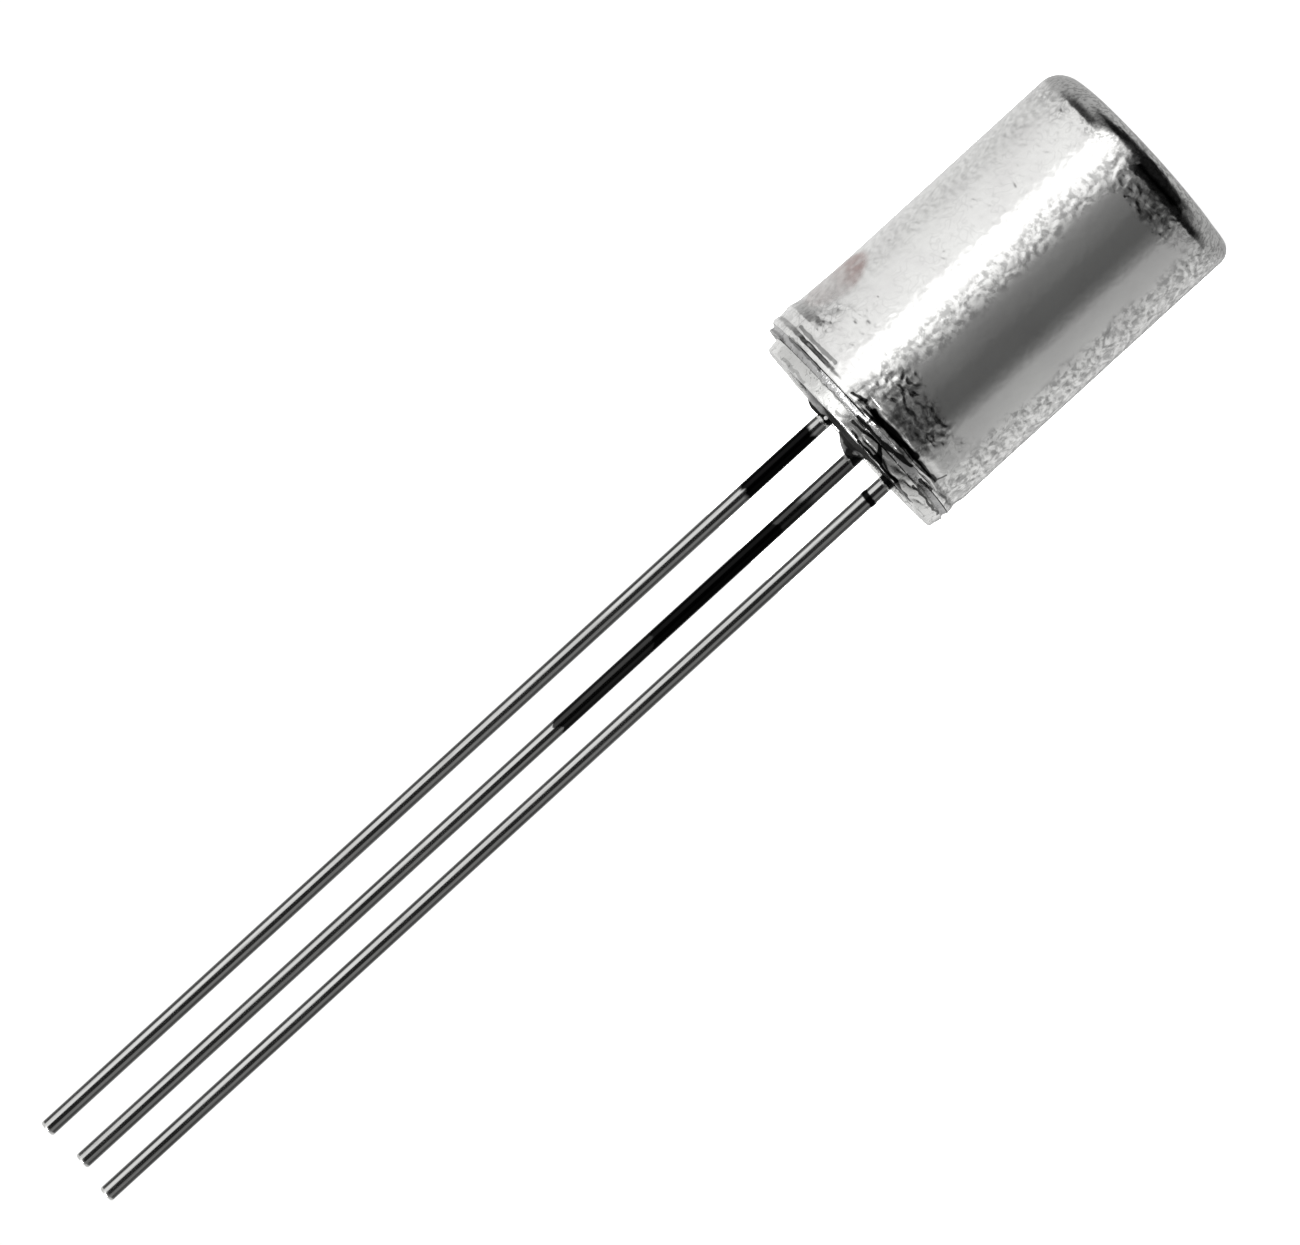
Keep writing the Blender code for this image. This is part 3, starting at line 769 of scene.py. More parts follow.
def glass_material():
    """Grey sealing glass with faint swirls, sooty on top of its blobs and round the wires."""
    made, tree, shader, place = new_material("seal_glass")
    split, height = split_place(tree, place)
    swirl = ranged(tree, grain(tree, place, *SWIRLS), *SWIRL_EDGES)
    colour = blended(tree, swirl, *GLASS_COLOURS)
    sooty = blended(tree, swirl, *SOOT_COLOURS)
    ragged = plus(tree, height, times(tree, grain(tree, place, *SOOT_NOISE), SOOT_RAGGED))
    soot = ranged(tree, ragged, SOOT_HEIGHT, SOOT_HEIGHT + SOOT_SOFT)
    (blob_x, blob_y), _, _ = GLASS_BLOBS[0]
    from_blob = measured(tree, "DISTANCE", place, (blob_x * MM, blob_y * MM, BLOB_HEIGHT * MM))
    ragged_gap = plus(tree, from_blob, times(tree, grain(tree, place, *BLOB_NOISE), BLOB_RAGGED * MM))
    around = ranged(tree, ragged_gap, SOOT_FROM_BLOB[0] * MM, SOOT_FROM_BLOB[1] * MM, 0.0, SOOT_AROUND)
    soot = most(tree, soot, around)
    facing = stretched(tree, place, (1.0, 0.0, CLEAR_FLATNESS))
    torn = times(tree, minus(tree, grain(tree, place, *TORN_NOISE), 0.5), TORN * MM)
    beside_base = ranged(tree, split.outputs[1], *RUBBED_Y)
    for x, z, reach in CLEAR_SPOTS:
        away = measured(tree, "DISTANCE", facing, (x * MM, 0.0, z * CLEAR_FLATNESS * MM))
        gap = plus(tree, away, torn)
        outer = (reach + CLEAR_SOFT[0]) * MM
        rubbed = ranged(tree, gap, outer, (reach - CLEAR_SOFT[1]) * MM, 1.0, RUBBED_LEFT)
        soot = times(tree, soot, lerp(tree, beside_base, 1.0, rubbed))
    level = stretched(tree, place, (1.0, 1.0, 0.0))
    for (x, y), _, climb in LEADS.values():
        away = measured(tree, "DISTANCE", level, (x * MM, y * MM, 0.0))
        reach = LEAD_RADIUS + WIRE_SOOT * climb
        outer = (reach + WIRE_SOOT_SOFT[0]) * MM
        soot = most(tree, soot, ranged(tree, away, outer, (reach - WIRE_SOOT_SOFT[1]) * MM))
    colour = blended(tree, soot, colour, sooty)
    rough = ranged(tree, grain(tree, place, *GLOSS_NOISE), *PATCH_EDGES, *GLASS_ROUGHNESS)
    rough = lerp(tree, soot, rough, SOOT_ROUGHNESS)
    feed(tree, shader, {"Base Color": colour, "Roughness": rough})
    feed(tree, shader, {"IOR": GLASS_IOR, "Specular IOR Level": GLASS_SPECULAR})
    bumped(tree, shader, grain(tree, place, *RIPPLE_NOISE), RIPPLE_DEPTH)
    return made


WIRE_COLOURS = ((0.52, 0.52, 0.51, 1.0), (0.66, 0.66, 0.65, 1.0))
STREAK_NOISE = (0.06, 3.0, 0.6)
STREAK_STRETCH = 0.02
STREAK_EDGES = (0.35, 0.65)
STREAK_DEPTH = 0.0015
WIRE_CLOUD_COLOUR = (0.22, 0.22, 0.22, 1.0)
CLOUD_NOISE = (0.35, 3.0)
CLOUD_STRETCH = 0.3
CLOUD_EDGES = (0.55, 0.75)
CLOUD_SHARE = 0.25
SHADE_AND_COLLAR_COLOUR = (0.008, 0.008, 0.008, 1.0)
PAINTED_HIGHLIGHT_COLOUR = (0.95, 0.95, 0.94, 1.0)
WIRE_ROUGHNESS = (0.14, 0.24)
SHADE_AND_COLLAR_ROUGHNESS = 0.26
# Dark bands along each wire: the emitter's band at its collar is the collar's own dark colour, the
# others are painted shade and dark reflections; (low, high, soft, strength, wander), in millimetres
# but for the strength
WIRE_SHADE_AND_COLLAR_BANDS = {
    "collector": ((9.2, 9.66, 0.03, 1.0, 0.3), (10.1, 12.15, 0.12, 1.0, 0.6)),
    "base": (
        (9.2, 9.82, 0.05, 1.0, 0.2),
        (9.3, 12.4, 0.4, 0.55, 0.9),
        (11.4, 12.4, 0.9, 0.9, 0.9),
        (12.2, 16.1, 0.4, 1.0, 0.9),
        (16.1, 19.0, 0.05, 0.93, 0.9),
    ),
    "emitter": ((9.2, 9.6, 0.03, 1.0, 0.2), (10.07, 10.2, 0.04, 1.0, 0.2)),
}


def lead_material(role):
    """Drawn wire with bands of painted shade and dark reflections, and a dark collar on the emitter; a
    bead at its root is painted white as a highlight and is not metal.
    """
    made, tree, shader, place = new_material(f"{role}_wire_metal")
    _, height = split_place(tree, place)
    streaks = grain(tree, stretched(tree, place, (1.0, 1.0, STREAK_STRETCH)), *STREAK_NOISE)
    cloud = grain(tree, stretched(tree, place, (1.0, 1.0, CLOUD_STRETCH)), *CLOUD_NOISE)
    colour = blended(tree, ranged(tree, streaks, *STREAK_EDGES), *WIRE_COLOURS)
    clouded = ranged(tree, cloud, *CLOUD_EDGES, 0.0, CLOUD_SHARE)
    colour = blended(tree, clouded, colour, WIRE_CLOUD_COLOUR)
    dark = 0.0
    for low, high, soft, strength, wander in WIRE_SHADE_AND_COLLAR_BANDS[role]:
        edge = plus(tree, height, times(tree, minus(tree, cloud, 0.5), wander))
        inside = between(tree, edge, (low - soft, low), (high + soft, high))
        dark = most(tree, dark, times(tree, inside, strength))
    # Bands of painted shade and dark reflections, and the emitter's dark collar
    colour = blended(tree, dark, colour, SHADE_AND_COLLAR_COLOUR)
    rough = lerp(tree, dark, ranged(tree, cloud, *PATCH_EDGES, *WIRE_ROUGHNESS), SHADE_AND_COLLAR_ROUGHNESS)
    metallic = 1.0
    # A white spot on the bead: a painted highlight, with no metal
    if role in PAINTED_HIGHLIGHT_BEADS:
        away = measured(tree, "DISTANCE", place, tuple(v * MM for v in PAINTED_HIGHLIGHT_BEADS[role]))
        spot = ranged(tree, away, BEAD_RADIUS * 1.1 * MM, BEAD_RADIUS * 0.7 * MM)
        colour = blended(tree, spot, colour, PAINTED_HIGHLIGHT_COLOUR)
        metallic = minus(tree, 1.0, spot)
    feed(tree, shader, {"Base Color": colour, "Metallic": metallic, "Roughness": rough})
    bumped(tree, shader, streaks, STREAK_DEPTH)
    return made


# Pieces


def can_outline():
    """The can's section: closed end, wall, flare, groove and rim outside, then the plain inside."""
    mouth = CAN_RADIUS + FLARE
    points = [(0.0, 0.0)]
    points += line((0.0, 0.0), (CAN_RADIUS - CAN_FILLET, 0.0), 30)
    points += arc((CAN_RADIUS - CAN_FILLET, CAN_FILLET), CAN_FILLET, -90.0, 0.0, 26)[1:]
    points += line((CAN_RADIUS, CAN_FILLET), (CAN_RADIUS, FLARE_LOW), 116)
    for i in range(1, FLARE_STEPS + 1):
        eased = (1 - math.cos(math.pi * i / FLARE_STEPS)) / 2
        height = FLARE_LOW + (FLARE_HIGH - FLARE_LOW) * i / FLARE_STEPS
        points.append((CAN_RADIUS + FLARE * eased, height))
    for i in range(1, GROOVE_STEPS + 1):
        height = GROOVE_LOW + (GROOVE_HIGH - GROOVE_LOW) * i / GROOVE_STEPS
        dip = GROOVE_DEPTH * smooth(height, GROOVE_LOW, GROOVE_Z)
        dip *= 1 - smooth(height, GROOVE_Z, GROOVE_HIGH)
        points.append((mouth - dip, height))
    points += line((mouth, GROOVE_HIGH), (mouth, CAN_LENGTH - RIM_ROUND), 5)
    points += arc((mouth - RIM_ROUND, CAN_LENGTH - RIM_ROUND), RIM_ROUND, 0.0, 90.0, 12)[1:]
    points += line(points[-1], (mouth - CAN_WALL, CAN_LENGTH), 4)
    points += line(points[-1], (mouth - CAN_WALL, FLARE_HIGH), 3)
    points += line(points[-1], (CAN_RADIUS - CAN_WALL, FLARE_LOW), 3)
    points += line(points[-1], (CAN_RADIUS - CAN_WALL, 2 * CAN_TOP), 4)
    points += line(points[-1], (CAN_RADIUS - 2 * CAN_WALL, CAN_TOP), 2)
    points += line(points[-1], (0.0, CAN_TOP), 3)
    return points


def by_azimuth(azimuth, table):
    """A value that changes smoothly between the rows of a table of (azimuth, value)."""
    for (low, first), (high, second) in zip(table, table[1:]):
        if azimuth <= high:
            return first + (second - first) * smooth(azimuth, low, high)
    return table[-1][1]


def along_corner(rounding, share):
    """The point at a share of the way from CORNER_TOP on the wall to CORNER_INNER on the end."""
    straight = CORNER_TOP - rounding
    bend = rounding * math.pi / 2
    flat = CAN_RADIUS - rounding - CORNER_INNER
    way = share * (straight + bend + flat)
    if way < straight:
        return CAN_RADIUS, CORNER_TOP - way
    if way < straight + bend:
        turn = (way - straight) / rounding
        return CAN_RADIUS - rounding * (1 - math.cos(turn)), rounding * (1 - math.sin(turn))
    return CAN_RADIUS - rounding - (way - straight - bend), 0.0


def rounded_corner(azimuth, radius, height):
    """Where a point of the plain corner goes when the rounding changes with the azimuth."""
    straight = CORNER_TOP - CAN_FILLET
    bend = CAN_FILLET * math.pi / 2
    total = straight + bend + CAN_RADIUS - CAN_FILLET - CORNER_INNER
    if height >= CAN_FILLET:
        way = CORNER_TOP - height
    elif radius > CAN_RADIUS - CAN_FILLET:
        way = straight + CAN_FILLET * math.atan2(CAN_FILLET - height, radius - CAN_RADIUS + CAN_FILLET)
    else:
        way = straight + bend + CAN_RADIUS - CAN_FILLET - radius
    return along_corner(by_azimuth(azimuth, CORNER_RADII), min(1.0, way / total))


# Relief of the can in millimetres; sides and heights are (low, high, soft), in degrees or millimetres,
# and noises are (scale, stretch, seed)
DENTS = ((0.0022, (0.9, 1.0, 0.0)), (0.0012, (2.3, 1.0, 7.0)))
PINCHED_SIDE = (-2.0, 46.0, 12.0)
FLAT_MOUTH = 0.04
FLAT_SIDE = (62.0, 130.0, 24.0)
PROUD_MOUTH = 0.06
PROUD_SIDE = (-130.0, -60.0, 24.0)
PROUD_HEIGHTS = (8.45, 8.95, 0.25)
RIM_EDGES = (GROOVE_Z - 0.22, GROOVE_Z - 0.06)
RIM_WRINKLE = 0.03
RIM_WRINKLE_NOISE = (0.9, 3.4, 3.0)
RIM_WAVE = 0.010
RIM_WAVE_NOISE = (1.6, 1.4, 11.0)
DEEP_GROOVE = 0.025
DEEP_HEIGHTS = (GROOVE_Z - 0.03, GROOVE_Z + 0.04, 0.08)
DEEP_SIDE = (5.0, 31.0, 8.0)


def inside_of_can(radius, height):
    """Whether a point of the can's outline is on its plain inside, its rim or the end's middle."""
    if radius < CORNER_INNER or height > CAN_LENGTH - 0.01:
        return True
    if radius < CAN_RADIUS - 0.1 and height > CAN_TOP - 0.01 and height > CAN_FILLET:
        return True
    if radius < CAN_RADIUS - CAN_FILLET and height > 0.001:
        return True
    if height < CAN_FILLET and radius >= CAN_RADIUS - CAN_FILLET:
        return math.hypot(radius - CAN_RADIUS + CAN_FILLET, CAN_FILLET - height) < CAN_FILLET - 0.01
    return False


def can_relief(azimuth, place, spot, normal):
    """Slight dents of the drawn wall, and the pinched, wrinkled mouth."""
    radius, height = spot
    if inside_of_can(radius, height):
        return 0.0, 0.0
    offset = sum(depth * wave(place, *settings) for depth, settings in DENTS)
    if height < CORNER_TOP:
        corner = rounded_corner(azimuth, radius, height)
        return corner[0] - radius + smooth(height, 0.05, CAN_FILLET) * offset, corner[1] - height
    offset -= FLAT_MOUTH * smooth(height, FLARE_LOW, FLARE_HIGH) * window(azimuth, *FLAT_SIDE)
    offset += PROUD_MOUTH * window(height, *PROUD_HEIGHTS) * window(azimuth, *PROUD_SIDE)
    rim = smooth(height, *RIM_EDGES)
    if rim > 0:
        wrinkle = ridge(place, *RIM_WRINKLE_NOISE)
        offset -= RIM_WRINKLE * rim * window(azimuth, *PINCHED_SIDE) * wrinkle * wrinkle
        offset -= RIM_WAVE * rim * (0.5 + wave(place, *RIM_WAVE_NOISE))
        offset -= DEEP_GROOVE * window(height, *DEEP_HEIGHTS) * window(azimuth, *DEEP_SIDE)
    return normal.x * offset, normal.y * offset


FLANGE_CHAMFER = 0.045
BORE_EDGE = 0.075


def ring_outline():
    """The header ring's section: collar, root, flange with rounded edges, bore."""
    edge = FLANGE_EDGE
    lean = FLANGE_LEAN
    root = (COLLAR_RADIUS + COLLAR_ROOT, FLANGE_LOW - COLLAR_ROOT)
    points = [(COLLAR_RADIUS, COLLAR_LOW)]
    points += line(points[-1], (COLLAR_RADIUS, FLANGE_LOW - COLLAR_ROOT), 8)
    points += arc(root, COLLAR_ROOT, 180.0, 90.0, 5)[1:]
    points += line(points[-1], (FLANGE_RADIUS + lean - FLANGE_CHAMFER, FLANGE_LOW), 5)
    points += line(points[-1], (FLANGE_RADIUS + lean, FLANGE_LOW + FLANGE_CHAMFER), 5)
    points += line(points[-1], (FLANGE_RADIUS - lean, FLANGE_HIGH - edge), 14)
    points += arc((FLANGE_RADIUS - lean - edge, FLANGE_HIGH - edge), edge, 8.0, 90.0, 14)[1:]
    points += line(points[-1], (COLLAR_BORE + BORE_EDGE, FLANGE_HIGH), 14)
    points += arc((COLLAR_BORE + BORE_EDGE, FLANGE_HIGH - BORE_EDGE), BORE_EDGE, 90.0, 180.0, 6)[1:]
    points += line(points[-1], (COLLAR_BORE, COLLAR_LOW), 4)
    return points


# Relief of the flange and the solder in millimetres; sides are (low, high, soft) in degrees
WORKED_SIDE = (2.0, 50.0, 14.0)
FLANGE_WAVE = 0.012
FLANGE_WAVE_NOISE = (1.4, 1.0, 5.0)
FLANGE_NICK = 0.035
FLANGE_NICK_NOISE = (1.7, 2.2, 23.0)
CREEP_SIDE = (8.0, 34.0, 10.0)
CREEP_OUT = 0.07
CREEP_DROP = 0.13
CREEP_NOISE = (1.3, 0.1, 31.0)
SOLDER_WAVE = 0.006
SOLDER_NOISE = (2.2, 1.0, 17.0)
FRONT_WAVE = 0.014
FRONT_SIDE = (-40.0, 55.0, 20.0)
BEHIND_THIN = 0.02
SOLDERED_SIDE = (-60.0, 62.0, 14.0)
# Where the solder fills the seam up to the flange: how far out, and which side
SEAM_FILLS = ((0.15, (-112.0, -66.0, 20.0)), (0.11, (72.0, 112.0, 26.0)))


def ring_relief(azimuth, place, spot, normal):
    """Uneven flange: soft waves, nicks and pressed marks."""
    radius, height = spot
    if radius < COLLAR_BORE + 0.02 or height < FLANGE_LOW - 0.01:
        return 0.0, 0.0
    worked = 0.3 + 0.7 * window(azimuth, *WORKED_SIDE)
    offset = -FLANGE_WAVE * (0.5 + wave(place, *FLANGE_WAVE_NOISE))
    nick = ridge(place, *FLANGE_NICK_NOISE)
    offset -= FLANGE_NICK * worked * nick * nick
    return normal.x * offset, normal.y * offset


def solder_outline():
    """The solder's section at rest; its outer side is shaped by solder_relief."""
    points = [(SOLDER_BORE, SOLDER_LOW), (SOLDER_RADIUS - 0.03, SOLDER_LOW - 0.01)]
    for i in range(SOLDER_STEPS + 1):
        share = i / SOLDER_STEPS
        hollow = SOLDER_HOLLOW * math.sin(math.pi * share)
        radius = SOLDER_RADIUS + (SOLDER_TIP - SOLDER_RADIUS) * share - hollow
        points.append((radius, SOLDER_LOW + (SOLDER_TOP - SOLDER_LOW) * share))
    points.append((SOLDER_TIP - 0.03, SOLDER_HIGH))
    points.append((SOLDER_BORE, SOLDER_HIGH))
    return points


def solder_relief(azimuth, place, spot, normal):
    """Solder that wanders in the seam, and creeps over the rim where the mouth is wrinkled."""
    radius, height = spot
    if radius < SOLDER_BORE + 0.02:
        return 0.0, 0.0
    creep = window(azimuth, *CREEP_SIDE) * (0.6 + 0.4 * wave(place, *CREEP_NOISE))
    share = min(1.0, max(0.0, (height - SOLDER_LOW) / (SOLDER_TOP - SOLDER_LOW)))
    out = CREEP_OUT * creep * math.sqrt(math.sin(math.pi * share)) if 0 < share < 1 else 0.0
    out += (SOLDER_WAVE + FRONT_WAVE * window(azimuth, *FRONT_SIDE)) * wave(place, *SOLDER_NOISE)
    out -= BEHIND_THIN * (1 - window(azimuth, *SOLDERED_SIDE))
    for reach, side in SEAM_FILLS:
        out += share * reach * window(azimuth, *side)
    return out, -CREEP_DROP * creep * (1 - share)


def dome(x, y):
    """The height of the glass at a place, in millimetres."""
    away = math.hypot(x - HEADER_X, y)
    share = min(1.0, away / DOME_RADIUS)
    height = GLASS_RIM + DOME_RISE * (1 + math.cos(math.pi * share)) / 2
    for (blob_x, blob_y), radius, rise in GLASS_BLOBS:
        share = min(1.0, math.hypot(x - blob_x, y - blob_y) / radius)
        height += rise * (1 - share * share) ** 1.5
    for (lead_x, lead_y), _, climb in LEADS.values():
        gap = math.hypot(x - lead_x, y - lead_y) - LEAD_RADIUS - CLIMB_GAP
        height += climb * math.exp(-max(0.0, gap) / CLIMB_REACH)
    return height


GLASS_RINGS = 96
GLASS_COLUMNS = 240
GLASS_WAVE = 0.006
GLASS_NOISE = (1.7, 1.0, 41.0)
GLASS_SHOULDER = 0.3


def glass_piece():
    """Glass disc: domed height field on rings, straight side and flat underside."""
    verts = []
    rows = []
    for i in range(GLASS_RINGS + 1):
        radius = GLASS_RADIUS * i / GLASS_RINGS
        calm = min(1.0, 4 * (1 - i / GLASS_RINGS))
        columns = GLASS_COLUMNS if i else 1
        rows.append(range(len(verts), len(verts) + columns))
        for x, y, _ in circle(radius, 0.0, columns):
            x += HEADER_X
            z = dome(x, y) + GLASS_WAVE * wave((x, y, 0.0), *GLASS_NOISE) * calm
            verts.append((x * MM, y * MM, z * MM))
    for height in (GLASS_RIM - GLASS_SHOULDER, GLASS_LOW):
        rows.append(range(len(verts), len(verts) + GLASS_COLUMNS))
        for x, y, z in circle(GLASS_RADIUS, height, GLASS_COLUMNS):
            verts.append(((HEADER_X + x) * MM, y * MM, z * MM))
    rows.append([len(verts)])
    verts.append((HEADER_X * MM, 0.0, GLASS_LOW * MM))
    return add_mesh("seal_glass_dome", verts, skin(rows, GLASS_COLUMNS))


# Relief of a wire in millimetres: how far under its radius it is drawn, with waves, and its rough root
DRAWN_UNDER = 0.0012
DRAWN_WAVE = 0.001
DRAWN_NOISE = (3.0, 0.1, 3.0)
ROOT_ROUGH = 0.004
ROOT_NOISE = (6.0, 0.6, 13.0)
ROOT_REACH = 0.7


def lead_piece(role):
    """A straight drawn wire, with a faint swelling at its root and a square-cut, chamfered tip."""
    (x, y), low, _ = LEADS[role]
    root = dome(x + LEAD_RADIUS + 0.05, y)
    outline = [(0.0, low), (LEAD_RADIUS - LEAD_CHAMFER, low), (LEAD_RADIUS, low + LEAD_CHAMFER)]
    stops = ((root - 0.1, 4), (root + 1.2, 40), (LEAD_TOP - 0.4, 60), (LEAD_TOP - LEAD_CHAMFER, 12))
    for height, steps in stops:
        outline += line(outline[-1], (LEAD_RADIUS, height), steps)
    outline += line(outline[-1], (LEAD_RADIUS - LEAD_CHAMFER, LEAD_TOP), 3)
    outline += line(outline[-1], (0.0, LEAD_TOP), 4)

    def relief(azimuth, place, spot, normal):
        """Drawing marks, a rough root, and the bead or the collar that some wires carry."""
        radius, height = spot
        if radius < LEAD_RADIUS - 0.001 or height < root - 0.2:
            return 0.0, 0.0
        near_root = 1 - smooth(height, root, root + ROOT_REACH)
        out = -DRAWN_UNDER - DRAWN_WAVE * wave(place, *DRAWN_NOISE)
        out -= ROOT_ROUGH * near_root * (0.5 + wave(place, *ROOT_NOISE))
        if role in PAINTED_HIGHLIGHT_BEADS:
            bead = PAINTED_HIGHLIGHT_BEADS[role]
            gap = math.dist((place[0] + x, place[1] + y, place[2]), bead)
            out += BEAD_RISE * max(0.0, 1 - (gap / BEAD_RADIUS) ** 2)
        if role in COLLARS:
            share = abs(height - COLLARS[role]) / COLLAR_HALF
            out += COLLAR_RISE * max(0.0, 1 - share * share)
        return out, 0.0

    piece = spun(f"{role}_straight_lead", outline, LEAD_COLUMNS, relief)
    for vert in piece.data.vertices:
        vert.co.x += x * MM
        vert.co.y += y * MM
    return piece


# Stage


def make_camera():
    """A long lens that looks along +Y, rolled as in the photograph."""
    data = bpy.data.cameras.new("camera")
    data.lens = CAMERA_LENS
    data.sensor_width = CAMERA_SENSOR
    data.clip_start = CLIP_NEAR
    data.clip_end = CLIP_FAR
    camera = linked("camera", data)
    camera.location = CAMERA_PLACE
    camera.rotation_euler = (math.radians(90.0), math.radians(CAMERA_ROLL), 0.0)
    bpy.context.scene.camera = camera


def make_world():
    """Soft boxes and dark screens all round, by azimuth; a soft light above, a dark table below."""
    world = bpy.data.worlds.new("studio")
    world.use_nodes = True
    tree = world.node_tree
    background = tree.nodes["Background"]
    direction = tree.nodes.new("ShaderNodeTexCoord").outputs["Generated"]
    split = add_node(tree, "ShaderNodeSeparateXYZ", {0: direction})
    azimuth = azimuth_of(tree, split)
    sine = calc(tree, "MINIMUM", most(tree, split.outputs[2], -1.0), 1.0)
    elevation = times(tree, calc(tree, "ARCSINE", sine), 180.0 / math.pi)
    below = ranged(tree, elevation, *HORIZON)
    room = bands_ramp(tree, azimuth, ROOM_BANDS)
    room = lerp(tree, ranged(tree, elevation, *TOP_EDGE), room, bands_ramp(tree, azimuth, TOP_BANDS))
    room = lerp(tree, ranged(tree, elevation, *CEILING_EDGE), room, CEILING_LIGHT)
    for edge, bands in ((LOW_EDGE, LOW_BANDS), (TABLE_EDGE, TABLE_BANDS)):
        room = lerp(tree, ranged(tree, elevation, *edge), room, bands_ramp(tree, azimuth, bands))

    across = calc(tree, "SQRT", minus(tree, 1.0, times(tree, sine, sine)))
    under = ranged(tree, across, *UNDER_REACH)
    ahead = between(tree, split.outputs[0], *AHEAD_EDGES)
    beyond = minus(tree, split.outputs[1], times(tree, ahead, AHEAD_SHIFT))
    ahead = times(tree, ahead, ranged(tree, beyond, *AHEAD_END))
    facing = most(tree, between(tree, azimuth, *UNDER_EDGES), ahead)
    under = times(tree, times(tree, under, below), facing)
    room = lerp(tree, under, room, UNDER_LIGHT)
    away = times(tree, ranged(tree, beyond, *AWAY_EDGE), below)
    room = lerp(tree, away, room, AWAY_LIGHT)
    tree.links.new(room, background.inputs["Strength"])
    background.inputs["Color"].default_value = ROOM_COLOUR
    bpy.context.scene.world = world


def hide_from(obj, kinds):
    """Keep an object of the stage out of some kinds of ray."""
    for kind in kinds:
        setattr(obj, f"visible_{kind}", False)


def make_stage():
    """Pale floor, white backdrop round everything, a sleeve of light round each wire, and a sun."""
    bpy.context.scene.view_settings.view_transform = "Standard"
    verts = [(0.0, 0.0, 0.0)] + circle(FLOOR_RADIUS, 0.0, FLOOR_COLUMNS)
    faces = [(0, 1 + k, 1 + (k + 1) % FLOOR_COLUMNS) for k in range(FLOOR_COLUMNS)]
    floor = linked_mesh("floor", verts, faces)
    made, tree, shader, place = new_material("pale_floor")
    colour = blended(tree, grain(tree, place, FLOOR_CLOUD, 2.0), *FLOOR_COLOURS)
    feed(tree, shader, {"Base Color": colour, "Roughness": 0.9, "Specular IOR Level": 0.1})
    feed(tree, shader, {"Emission Color": (1.0, 1.0, 1.0, 1.0), "Emission Strength": FLOOR_GLOW})
    floor.data.materials.append(made)
    hide_from(floor, ("glossy", "transmission"))

    backdrop = dome_shell("backdrop", BACKDROP_RADIUS)
    backdrop.data.materials.append(plain_light("backdrop_white", BACKDROP_LIGHT))
    hide_from(backdrop, ("diffuse", "glossy", "transmission", "shadow"))

    for role in LEADS:
        sleeve = light_sleeve(role)
        hide_from(sleeve, ("camera", "diffuse", "transmission", "shadow"))

    light = bpy.data.lights.new("overhead", "SUN")
    light.energy = SUN_STRENGTH
    light.angle = math.radians(SUN_ANGLE)
    light.specular_factor = 0.0
    lamp = linked("overhead", light)
    lamp.location = LAMP_PLACE


def dome_shell(name, radius):
    """A sphere seen from inside, made of rings."""
    rings, columns = 24, 48
    verts = [(0.0, 0.0, -radius)]
    rows = [[0]]
    for i in range(1, rings):
        tilt = -math.pi / 2 + math.pi * i / rings
        rows.append(range(len(verts), len(verts) + columns))
        verts += circle(radius * math.cos(tilt), radius * math.sin(tilt), columns)
    rows.append([len(verts)])
    verts.append((0.0, 0.0, radius))
    shell = linked_mesh(name, verts, skin(rows, columns))
    shell.data.shade_smooth()
    return shell


def plain_light(name, strength):
    """A material that only glows."""
    made = bpy.data.materials.new(name)
    made.use_nodes = True
    tree = made.node_tree
    tree.nodes.clear()
    glow = add_node(tree, "ShaderNodeEmission", {"Strength": strength})
    out = tree.nodes.new("ShaderNodeOutputMaterial")
    tree.links.new(glow.outputs[0], out.inputs["Surface"])
    return made


def light_sleeve(role):
    """A thin tube of light round one wire, in upright bands, that only reflections see."""
    (x, y), _, _ = LEADS[role]
    low = dome(x, y) + SLEEVE_GAP
    verts = circle(SLEEVE_RADIUS * MM, low * MM, SLEEVE_STEPS)
    verts += circle(SLEEVE_RADIUS * MM, (LEAD_TOP - LEAD_CHAMFER) * MM, SLEEVE_STEPS)
    faces = skin([range(SLEEVE_STEPS), range(SLEEVE_STEPS, 2 * SLEEVE_STEPS)], SLEEVE_STEPS)
    sleeve = linked_mesh(f"{role}_light_sleeve", verts, faces)
    sleeve.location = (x * MM, y * MM, 0.0)
    made = plain_light(f"{role}_sleeve_bands", 1.0)
    tree = made.node_tree
    place = tree.nodes.new("ShaderNodeTexCoord").outputs["Object"]
    split = add_node(tree, "ShaderNodeSeparateXYZ", {0: place})
    bands = [(seen_from_wire(angle), light) for angle, light in WIRE_BANDS]
    light = bands_ramp(tree, azimuth_of(tree, split), bands)
    tree.links.new(light, tree.nodes["Emission"].inputs["Strength"])
    sleeve.data.materials.append(made)
    return sleeve


def seen_from_wire(angle):
    """Where on the sleeve the wire's reflection of a far azimuth falls."""
    shift = math.asin(LEAD_RADIUS / SLEEVE_RADIUS * math.sin(math.radians(angle / 2)))
    return angle - math.degrees(shift)


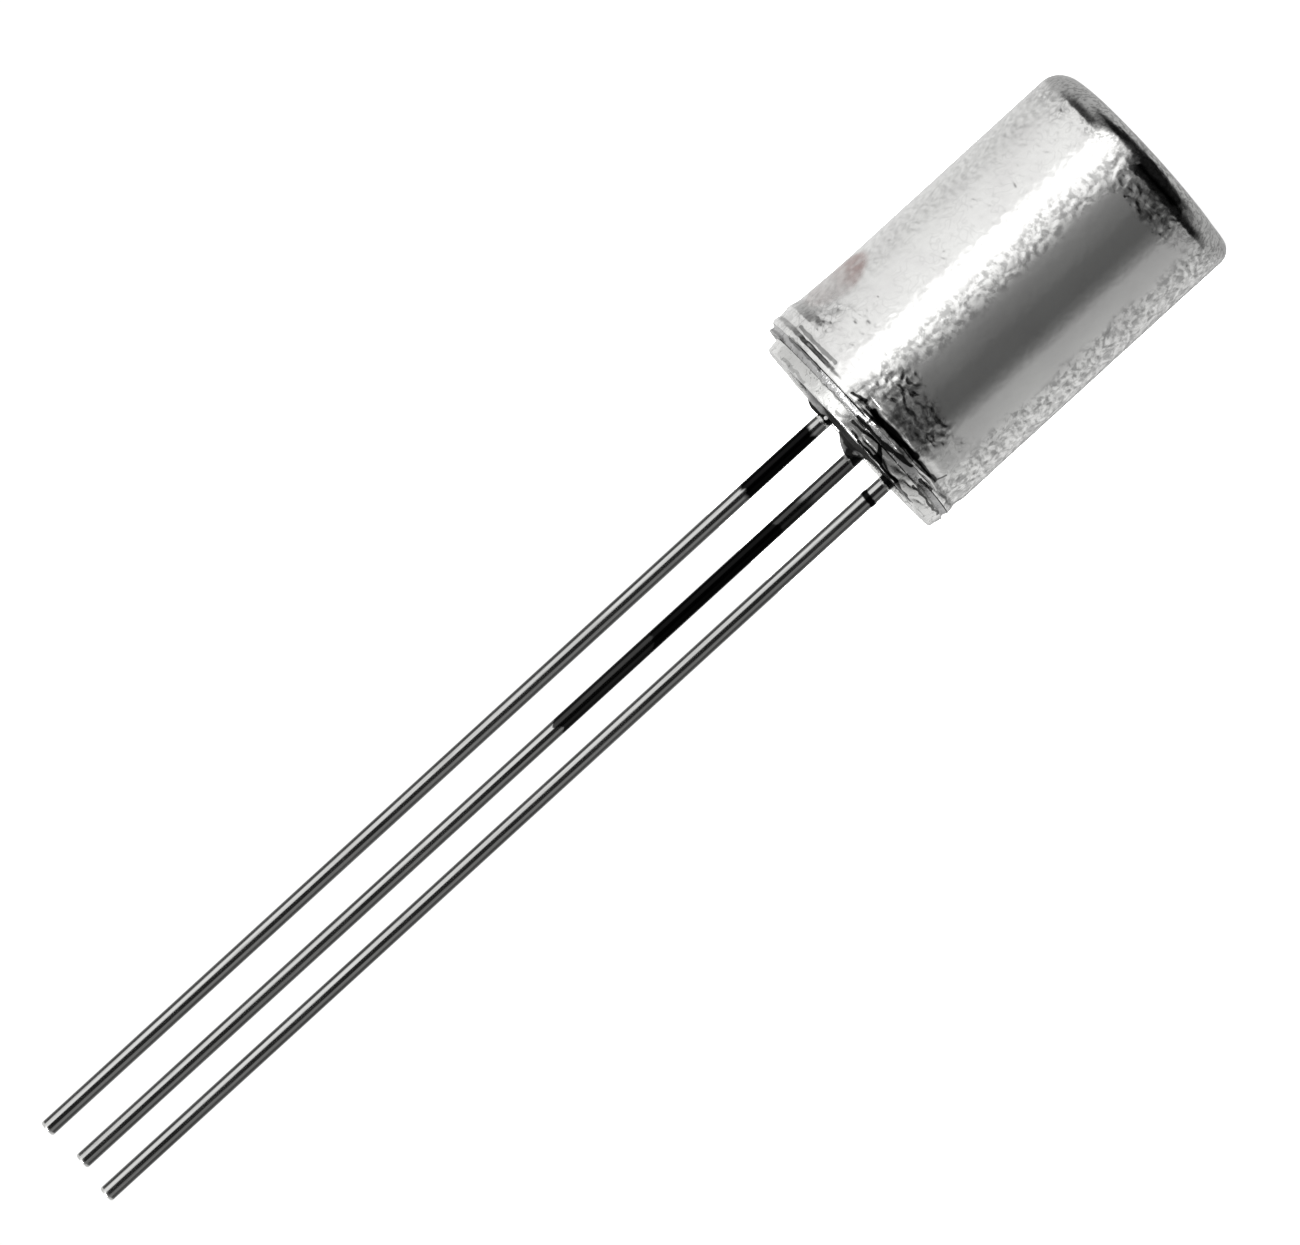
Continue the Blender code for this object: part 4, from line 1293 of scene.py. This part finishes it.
# Looks of worked metals: two colours, roughness, sizes of patches and specks, depth of the relief
# in millimetres, and how dark the specks are
RING_LOOK = (((0.78, 0.78, 0.77), (0.68, 0.68, 0.67)), (0.12, 0.26), (0.6, 0.12), 0.010, 0.4)
SOLDER_LOOK = (((0.50, 0.50, 0.50), (0.34, 0.34, 0.34)), (0.2, 0.4), (0.5, 0.1), 0.012, 0.6)
NICKEL = (((0.66, 0.63, 0.58), (0.6, 0.57, 0.52)), (0.25, 0.4), (0.8, 0.1), 0.002)
INNER_SOLDER = (((0.5, 0.5, 0.5), (0.4, 0.4, 0.4)), (0.35, 0.5), (0.4, 0.08), 0.004)
GERMANIUM = (((0.30, 0.31, 0.33), (0.26, 0.27, 0.29)), (0.15, 0.3), (0.6, 0.05), 0.001)
INDIUM = (((0.7, 0.7, 0.72), (0.6, 0.6, 0.62)), (0.3, 0.5), (0.3, 0.06), 0.003)
HIDDEN_LOOKS = (
    ("nickel_sheet", NICKEL, ("base_tab", "emitter_wire", "collector_wire")),
    ("inner_solder", INNER_SOLDER, ("base_solder",)),
    ("germanium_slice", GERMANIUM, ("germanium_wafer",)),
    ("indium_bead", INDIUM, ("emitter_bead", "collector_bead")),
)


def main():
    """The stage, the pieces that stand for CAD nodes, and looks for the hidden nodes."""
    make_camera()
    make_world()
    make_stage()

    can = spun("can_body", can_outline(), CAN_COLUMNS, can_relief)
    finished(can, "can", can_material())
    ring = spun("header_flange", ring_outline(), RING_COLUMNS, ring_relief, HEADER_X, True)
    ring_look = metal_material("ring_metal", *RING_LOOK, True)
    finished(ring, "header_ring", ring_look)
    solder = spun("seam_fillet", solder_outline(), RING_COLUMNS, solder_relief, closed=True)
    solder_look = metal_material("solder", *SOLDER_LOOK, True)
    finished(solder, "seam_solder", solder_look)
    finished(glass_piece(), "glass_seal", glass_material())
    for role in LEADS:
        finished(lead_piece(role), f"{role}_lead", lead_material(role))

    for name, look, nodes in HIDDEN_LOOKS:
        made = metal_material(name, *look)
        for node in nodes:
            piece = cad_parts[node]
            piece.data.materials.clear()
            piece.data.materials.append(made)


main()
